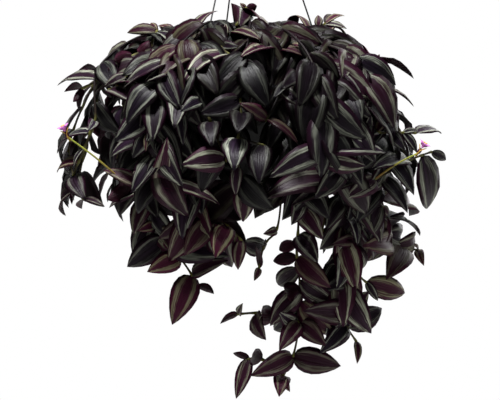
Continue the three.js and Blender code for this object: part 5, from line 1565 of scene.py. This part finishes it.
def crumb_tree():
    """Geometry nodes that scatter crumbs on the upward faces of the soil."""
    tree, source = new_tree("Crumbs", {"Density": "Float", "Seed": "Int", "Finish": "Material"})
    normal = add(tree, "GeometryNodeInputNormal")
    upward = add(tree, "ShaderNodeSeparateXYZ", {0: normal}).outputs[2]
    is_top = add(tree, "FunctionNodeCompare", {0: upward, 1: 0.6}, operation="GREATER_THAN")
    spots = add(tree, "GeometryNodeDistributePointsOnFaces", {
        "Mesh": source["Geometry"], "Selection": is_top, "Density": source["Density"], "Seed": source["Seed"]
    })
    turn, size = (
        add(tree, "FunctionNodeRandomValue", {
            0: low, 1: high, "Seed": source["Seed"]
        }, data_type="FLOAT_VECTOR")
        for low, high in (((0, 0, 0), (6.28, 6.28, 6.28)), ((0.4, 0.4, 0.3), (1.0, 1.0, 0.7)))
    )
    crumb = add(tree, "GeometryNodeMeshIcoSphere", {"Radius": 1.8 * MM, "Subdivisions": 1})
    crumbs = add(tree, "GeometryNodeInstanceOnPoints", {
        "Points": spots, "Instance": crumb, "Rotation": turn, "Scale": size
    })
    whole = add(tree, "GeometryNodeJoinGeometry")
    for part in (crumbs, source["Geometry"]):
        feed(tree, whole, {0: part})
    whole = add(tree, "GeometryNodeRealizeInstances", {"Geometry": whole})
    whole = add(tree, "GeometryNodeSetMaterial", {"Geometry": whole, "Material": source["Finish"]})
    add(tree, "NodeGroupOutput", {0: whole})
    return tree


# Lines of a stem


def stem_lines(plan, colours):
    """The plant's stems, swollen at each joint, with a pale sheath there and darker between."""
    bases = [leaf["base"] for leaf in plan["leaves"]]
    skin, joint, tip_skin = (Vector(c[:3]) for c in (colours.stem, colours.stem_joint, colours.stem_tip))
    lines = []
    for controls in plan["runs"]:
        run = route_through(controls, STEM_RING_STEP)
        line = []
        for i, place in enumerate(run):
            away = (((base - place).length / JOINT_LENGTH) ** 2 for base in bases)
            nearness = max((math.exp(-square) for square in away), default=0)
            youth = clamp((i / len(run) - STEM_GREEN_FROM) / (1 - STEM_GREEN_FROM), 0, 1)
            radius = STEM_RADIUS * mix(*STEM_THINNING, i / len(run)) + JOINT_SWELLING * nearness
            colour = skin.lerp(tip_skin, youth * STEM_GREEN).lerp(joint, JOINT_PALENESS * nearness)
            # Painted shade darkens the stem's colour in the hollow.
            line.append((place, radius, colour * (1 - STEM_HOLLOW_PAINTED_SHADE * hollow_at(place))))
        line[-1] = (line[-1][0], line[-1][1] * STEM_END, line[-1][2])
        lines.append(line)
    return lines


def ellipsoid_line(centre, direction, half_length, radius, colour):
    """A line whose radii make an ellipsoid."""
    angles = [math.pi * i / 8 for i in range(9)]
    return [
        (centre - direction * (math.cos(angle) * half_length), max(0.03, radius * math.sin(angle)), colour)
        for angle in angles
    ]


def plain_blade(base, tip, facing, width, form, seed):
    """A blade of a flower."""
    return {**leaf_frame(base, tip, facing, 0, width, form), "tone": (0, 0.5, 0), "seed": seed}


def flower_parts(flower, colours):
    """Stalk and calyx lines, bracts, and the petals with their stamens."""
    end, facing = flower["end"], flower["facing"]
    across = facing.cross(TO_EYE).normalized()
    low, green, dark, rosy, golden = (
        Vector(colour[:3])
        for colour in (colours.stalk_low, colours.stalk, colours.calyx, colours.petal, colours.anther)
    )
    run = route_through(flower["stalk"], 5)[:-1]
    shares = [i / (len(run) - 1) for i in range(len(run))]
    stalk = [(place, mix(*STALK_RADII, share), low.lerp(green, share)) for place, share in zip(run, shares)]
    seat = end + facing * (CALYX_LENGTH / 2 - CALYX_SEAT)
    calyx = ellipsoid_line(seat, facing, CALYX_LENGTH / 2, CALYX_RADIUS, dark)
    start = end - facing * (BRACT_LENGTH * BRACT_BACK)
    bracts = []
    for number, hand in enumerate((-1, 1)):
        tip = start + facing * BRACT_LENGTH + across * (hand * BRACT_SPREAD)
        bracts.append(plain_blade(start, tip, across * -hand, BRACT_WIDTH, BLADE_FORMS[3], 0.3 * number))
    heart = end + facing * (CALYX_LENGTH - CALYX_SEAT + PETAL_GAP + PETAL_CORE_RADIUS)
    petals = []
    for i in range(3):
        spread = Quaternion(facing, 2 * math.pi * i / 3 + 0.5) @ across
        aside, ahead = (PETAL_LENGTH * share for share in PETAL_OPENING)
        tip = heart + spread * aside + facing * ahead
        petals.append(plain_blade(heart, tip, facing, PETAL_WIDTH, BLADE_FORMS[0], 0.3 * i))
    stamens = [ellipsoid_line(heart, facing, PETAL_CORE_RADIUS, PETAL_CORE_RADIUS, rosy)]
    for i in range(STAMENS):
        lean = Quaternion(facing, math.tau * i / STAMENS) @ across * STAMEN_LEAN
        lean = (facing + lean).normalized()
        head = heart + lean * STAMEN_LENGTH
        stamens.append([(heart, 0.3, rosy), (head, 0.25, rosy)])
        stamens.append(ellipsoid_line(head, across, *ANTHER, golden))
    return [stalk, calyx], bracts, petals, stamens


# Settings


def colour_of(name, text, code):
    """A colour setting."""
    return bpy.props.FloatVectorProperty(
        name=name, description=text, default=linear(code), subtype="COLOR", size=4, min=0, max=1
    )


def length_of(name, text, default, low, high):
    """A length setting, in metres."""
    return bpy.props.FloatProperty(
        name=name, description=text, default=default, min=low, max=high, unit="LENGTH", precision=4
    )


def power_of(name, text, default):
    """A light's power setting."""
    return bpy.props.FloatProperty(name=name, description=text, default=default, min=0, unit="POWER")


def count_of(name, text, default, low, high):
    """A whole-number setting."""
    return bpy.props.IntProperty(name=name, description=text, default=default, min=low, max=high)


class TRADESCANTIA_PG_foliage(bpy.types.PropertyGroup):
    """Leaves and stems"""

    thickness: length_of("Leaf Thickness", "Thickness of a leaf at its midrib", 0.0008, 0.0003, 0.002)
    stem_sides: count_of("Stem Sides", "Sides of a stem's round section", 8, 3, 24)
    fill_spacing: length_of("Filling Spacing", "From one filling leaf to the next", 0.01, 0.005, 0.08)
    fill_size: length_of("Filling Leaf Length", "Length of a filling leaf", 0.058, 0.02, 0.08)
    midrib: colour_of("Midrib", "Lighter veins of the dark zone along the midrib", "#2c1f31")
    midrib_dark: colour_of("Dark Midrib", "Dark zone along the midrib", "#0c0910")
    rim: colour_of("Rim", "Purple rim of the upper face", "#2b1024")
    stripe_bright: colour_of("Bright Stripe", "Brightest part of the silvery stripes", "#cdd3c0")
    stripe_dim: colour_of("Dim Stripe", "Dimmest part of the silvery stripes", "#282a2c")
    young: colour_of("Young Leaf", "Ground colour of a young leaf", "#48142c")
    young_stripe: colour_of("Young Stripe", "Stripes of a young leaf", "#8d8863")
    under_dark: colour_of("Dark Underside", "Darkest part of the underside", "#150509")
    under_light: colour_of("Light Underside", "Lightest part of the underside", "#3a1326")
    stem: colour_of("Stem", "Older stem", "#170e11")
    stem_joint: colour_of("Stem Joint", "Joints and leaf sheaths", "#6a6a34")
    stem_tip: colour_of("Stem Tip", "Young stem", "#433a20")


class TRADESCANTIA_PG_flowers(bpy.types.PropertyGroup):
    """Flowers"""

    petal: colour_of("Petal", "Petal towards its edge", "#d98ad6")
    throat: colour_of("Throat", "Petal at its base", "#b04fae")
    bract: colour_of("Bract", "Bract towards its tip", "#d8a23a")
    bract_base: colour_of("Bract Base", "Bract at its base", "#8f8d36")
    stalk: colour_of("Stalk", "Upper flower stalk", "#8f9a3c")
    stalk_low: colour_of("Lower Stalk", "Lower flower stalk", "#77512f")
    calyx: colour_of("Calyx", "Calyx", "#43202c")
    anther: colour_of("Anther", "Anthers", "#e6c64c")


class TRADESCANTIA_PG_pot(bpy.types.PropertyGroup):
    """Pot and soil"""

    sides: count_of("Sides", "Sides of the pot", 96, 24, 256)
    colour: colour_of("Pot", "Moulded plastic", "#0d0d0e")
    dusty: colour_of("Dust", "Dusty patches of the plastic", "#2a2825")
    soil_dark: colour_of("Dark Soil", "Moist crumbs", "#1d140e")
    soil_light: colour_of("Light Soil", "Drier crumbs and fibres", "#4a3626")
    crumbs: count_of("Crumbs", "Loose crumbs per square centimetre", 6, 0, 20)
    seed: count_of("Seed", "Lie of the crumbs", 4, 0, 999)


class TRADESCANTIA_PG_hanger(bpy.types.PropertyGroup):
    """Hook and wires"""

    sides: count_of("Sides", "Sides of the hook's rod", 20, 6, 64)
    wire_sides: count_of("Wire Sides", "Sides of a wire", 12, 6, 64)
    colour: colour_of("Coating", "Powder coating", "#070708")
    peel: colour_of("Coating Peel", "High spots of the coating", "#161618")


class TRADESCANTIA_PG_stage(bpy.types.PropertyGroup):
    """Camera, light and floor"""

    floor_drop: length_of("Floor", "Height of the floor", -1.2, -10, 0)
    paper_low: colour_of("Paper", "Studio paper", "#dddcd9")
    paper_high: colour_of("Paper Fibres", "Lighter fibres of the paper", "#e8e7e4")
    sky: bpy.props.FloatProperty(
        name="Surround", description="Light that the white surround gives", default=0.07, min=0
    )
    key: power_of("Key Light", "Power of the key light", 117.0)
    fill: power_of("Fill Light", "Power of the fill light", 4.0)
    back: power_of("Back Light", "Power of the back light", 42.0)


SETTINGS = {
    "tradescantia_foliage": TRADESCANTIA_PG_foliage, "tradescantia_flowers": TRADESCANTIA_PG_flowers,
    "tradescantia_pot": TRADESCANTIA_PG_pot, "tradescantia_hanger": TRADESCANTIA_PG_hanger,
    "tradescantia_stage": TRADESCANTIA_PG_stage
}


# Operators


class TRADESCANTIA_OT_foliage(bpy.types.Operator):
    """Dress each leafy stem with smooth striped leaves and jointed stems, and add the flowers"""

    bl_idname = "tradescantia.foliage"
    bl_label = "Leafy Stems and Flowers"

    def execute(self, context):
        leafy, bloom = context.scene.tradescantia_foliage, context.scene.tradescantia_flowers
        spacing, size = (round(value / MM, 3) for value in (leafy.fill_spacing, leafy.fill_size))
        plans = all_plans()
        room = Room(FILL_CELL)
        for plan in plans:
            for blade in plan["blades"]:
                room.add(blade_samples(blade))
        tree, blank, skin = plant_tree(), blade_blank(), stem_material()
        leaf, petal, bract = (
            {
                "Blade Blank": blank, "Stem Sides": leafy.stem_sides, "Blade Finish": finish,
                "Stem Finish": skin
            }
            for finish in (
                leaf_material(leafy),
                petal_material("thin_petal", bloom.throat, bloom.petal),
                petal_material("papery_bract", bloom.bract_base, bloom.bract),
            )
        )
        for plan in plans:
            spot = plan["spot"]
            name = f"leafy_stem_{spot}"
            plan["blades"] += filling_leaves(plan, room, spacing, size)
            lines = stem_lines(plan, leafy)
            if plan["flower"]:
                stalk, bracts, petals, stamens = flower_parts(plan["flower"], bloom)
                lines += stalk
                made = plant_piece(f"bracts_{spot}", bracts, [], tree, bract, leafy.thickness)
                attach(made, "root")
                made = plant_piece(f"petals_{spot}", petals, stamens, tree, petal, leafy.thickness / 2)
                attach(made, "root")
                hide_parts(f"flower_petals_{spot}")
            made = plant_piece(f"{name}_dressed", plan["blades"], lines, tree, leaf, leafy.thickness)
            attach(made, "root")
            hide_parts(name)
        bpy.data.objects.remove(blank)
        return {"FINISHED"}


class TRADESCANTIA_OT_pot(bpy.types.Operator):
    """Build the moulded hanging pot with its wire holes and drains"""

    bl_idname = "tradescantia.pot"
    bl_label = "Pot"

    def execute(self, context):
        values = context.scene.tradescantia_pot
        made = revolved("hanging_pot", POT_PROFILE, values.sides)
        holes = []
        for i in range(DRAIN_HOLES):
            centre = polar(DRAIN_CIRCLE, 2 * math.pi * (i + 0.5) / DRAIN_HOLES, RIM_Z - POT_HEIGHT)
            holes.append((centre - UP * 6, centre + UP * 8, DRAIN_RADIUS))
        for degrees in WIRE_BEARINGS.values():
            top, low = wire_ends(math.radians(degrees))
            holes.append((top.lerp(low, 0.9), low, WIRE_RADIUS + WIRE_HOLE_CLEARANCE))
        cut_holes(made, holes)
        made.data.materials.append(moulded_plastic_material(values.colour, values.dusty))
        shade_smooth(made, 35)
        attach(made, "root")
        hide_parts("pot")
        return {"FINISHED"}


class TRADESCANTIA_OT_soil(bpy.types.Operator):
    """Fill the pot with potting mix and scatter crumbs on it"""

    bl_idname = "tradescantia.soil"
    bl_label = "Soil"

    def execute(self, context):
        values = context.scene.tradescantia_pot
        floor = RIM_Z - POT_HEIGHT + POT_FLOOR + 1 + SOIL_GAP
        slope = (POT_INNER_RADIUS - POT_BASE_RADIUS + POT_WALL) / (POT_HEIGHT - POT_FLOOR)
        edge = POT_BASE_RADIUS - POT_WALL - 2 * SOIL_GAP
        top_edge = edge + slope * (SOIL_Z - 2 - floor) - SOIL_GAP
        profile = [(0, floor), (edge, floor), (top_edge, SOIL_Z - 3)]
        for i in range(1, SOIL_RINGS):
            out = 1 - i / SOIL_RINGS
            profile.append((top_edge * out, SOIL_Z - 3 + SOIL_CROWN * (1 - out**2)))
        made = revolved("potting_mix", [*profile, (0, SOIL_Z - SOIL_GAP)], 72)
        for vertex in made.data.vertices:
            x, y, z = vertex.co
            if z / MM > SOIL_Z - 4 and math.hypot(x, y) / MM < top_edge - 1:
                key = (int(abs(x) * 1e5), int(abs(y) * 1e5), 3)
                vertex.co.z += (draw(*key) - 0.75) * SOIL_LUMPS * MM
        finish = soil_material(values.soil_dark, values.soil_light)
        made.data.materials.append(finish)
        shade_smooth(made)
        density = values.crumbs * 10000.0
        apply_tree(made, crumb_tree(), {"Density": density, "Seed": values.seed, "Finish": finish})
        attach(made, "root")
        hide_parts("soil")
        return {"FINISHED"}


class TRADESCANTIA_OT_hanger(bpy.types.Operator):
    """Bend the hook, turn its hub and run the three wires to the pot"""

    bl_idname = "tradescantia.hanger"
    bl_label = "Hook and Wires"

    def execute(self, context):
        values = context.scene.tradescantia_hanger
        finish = coated_wire_material(values.colour, values.peel)
        tree = rod_tree()
        rod = HOOK_ROD / 2
        bend = HOOK_INNER_RADIUS + rod
        points = [Vector((bend + out, 0, -HOOK_INNER_RADIUS - down)) for out, down in HOOK_END]
        for i in range(25):
            angle = HOOK_TURN * i / 24
            points.append(Vector((bend * math.cos(angle), 0, bend * math.sin(angle) - HOOK_INNER_RADIUS)))
        shank = [
            points[-1], Vector((-bend * HOOK_NECK[0], 0, -HOOK_INNER_RADIUS - bend * HOOK_NECK[1])),
            UP * (HUB_UNDERSIDE + HUB_THICKNESS + 9), UP * (HUB_UNDERSIDE + 1)
        ]
        for i in range(len(shank) - 1):
            points += [smooth_point(shank, i, part / 6) for part in range(1, 7)]
        spans = [(point, rod) for point in points]
        first = (points[0] - points[1]).normalized()
        spans[:1] = [(points[0], rod * 0.8), (points[0] - first * 0.6, rod)]
        made = rod_piece("hanger_hook_rod", spans, tree, values.sides, finish)
        over = HUB_UNDERSIDE + HUB_THICKNESS
        profile = [
            (0, HUB_UNDERSIDE), (HUB_RADIUS - 1, HUB_UNDERSIDE), (HUB_RADIUS, HUB_UNDERSIDE + 1),
            (HUB_RADIUS, over - 1), (HUB_RADIUS - 1, over), (rod + 1.2, over), (rod + 0.1, over + 1.5),
            (0, over + 1.5)
        ]
        hub = revolved("hanger_hub", profile, 48)
        ends = {name: wire_ends(math.radians(degrees)) for name, degrees in WIRE_BEARINGS.items()}
        bore = WIRE_RADIUS + WIRE_HOLE_CLEARANCE
        cut_holes(hub, [(top, top.lerp(end, 0.06), bore) for top, end in ends.values()])
        hub.data.materials.append(finish)
        shade_smooth(hub, 35)
        for piece in (made, hub):
            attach(piece, "root")
            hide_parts("hanger_hook")
        for name, (top, end) in ends.items():
            piece = rod_piece(f"wire_{name}", wire_spans(top, end), tree, values.wire_sides, finish)
            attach(piece, "root")
            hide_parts(f"hanger_wire_{name}")
        return {"FINISHED"}


class TRADESCANTIA_OT_stage(bpy.types.Operator):
    """Set the white surround, the floor, the lights and the camera at the eye's place"""

    bl_idname = "tradescantia.stage"
    bl_label = "Studio"

    def execute(self, context):
        values = context.scene.tradescantia_stage
        scene = context.scene
        scene.view_settings.view_transform = "Standard"
        lens = bpy.data.cameras.new("camera")
        lens.sensor_width = SENSOR_WIDTH
        lens.lens = SENSOR_WIDTH * EYE_DISTANCE / (FRAME_COLUMNS * GRID_STEP)
        lens.clip_end = 100
        camera = bpy.data.objects.new("camera", lens)
        camera.location = grid_place(EYE_COLUMN, EYE_ROW, -EYE_DISTANCE) * MM
        camera.rotation_euler = (math.radians(90), 0, 0)
        scene.collection.objects.link(camera)
        scene.camera = camera

        drop = values.floor_drop / MM
        ring = [polar(FLOOR_RADIUS, math.tau * i / FLOOR_SIDES, drop) for i in range(FLOOR_SIDES)]
        floor = mesh_object("studio_floor", ring, faces=[tuple(range(FLOOR_SIDES))])
        floor.data.materials.append(backdrop_material(values.paper_low, values.paper_high))

        scene.world = bpy.data.worlds.new("white_surround")
        scene.world.use_nodes = True
        tree = scene.world.node_tree
        seen = add(tree, "ShaderNodeLightPath").outputs["Is Camera Ray"]
        strength = add(tree, "ShaderNodeMapRange", {"Value": seen, "To Min": values.sky, "To Max": 1.0})
        surround = next(n for n in tree.nodes if n.type == "BACKGROUND")
        feed(tree, surround, {"Color": (1, 1, 1, 1), "Strength": strength})

        middle = UP * ((RIM_Z - LIT_UNDER_RIM) * MM)
        powers = {"key_light": values.key, "fill_light": values.fill, "back_light": values.back}
        for name, power in powers.items():
            place, size = LIGHTS[name]
            lamp = bpy.data.lights.new(name, "AREA")
            lamp.energy, lamp.size = power, size
            lit = bpy.data.objects.new(name, lamp)
            lit.location = middle + Vector(place)
            lit.rotation_euler = (-Vector(place)).to_track_quat("-Z", "Y").to_euler()
            scene.collection.objects.link(lit)
        return {"FINISHED"}


OPERATORS = (
    TRADESCANTIA_OT_foliage, TRADESCANTIA_OT_pot, TRADESCANTIA_OT_soil, TRADESCANTIA_OT_hanger,
    TRADESCANTIA_OT_stage
)


class TRADESCANTIA_PT_panel(bpy.types.Panel):
    """Lists the pieces of the hanging tradescantia"""

    bl_label = "Hanging Tradescantia"
    bl_idname = "TRADESCANTIA_PT_panel"
    bl_space_type = "VIEW_3D"
    bl_region_type = "UI"
    bl_category = "Tradescantia"

    def draw(self, context):
        for group in SETTINGS:
            box = self.layout.box()
            for name in getattr(context.scene, group).__annotations__:
                box.prop(getattr(context.scene, group), name)
        for operator in OPERATORS:
            self.layout.operator(operator.bl_idname)


CLASSES = (*SETTINGS.values(), *OPERATORS, TRADESCANTIA_PT_panel)


def register():
    for kind in CLASSES:
        bpy.utils.register_class(kind)
    for name, kind in SETTINGS.items():
        setattr(bpy.types.Scene, name, bpy.props.PointerProperty(type=kind))


def unregister():
    for name in SETTINGS:
        delattr(bpy.types.Scene, name)
    for kind in reversed(CLASSES):
        bpy.utils.unregister_class(kind)


def main():
    register()
    bpy.ops.tradescantia.foliage()
    bpy.ops.tradescantia.pot()
    bpy.ops.tradescantia.soil()
    bpy.ops.tradescantia.hanger()
    bpy.ops.tradescantia.stage()


if __name__ == "__main__":
    main()
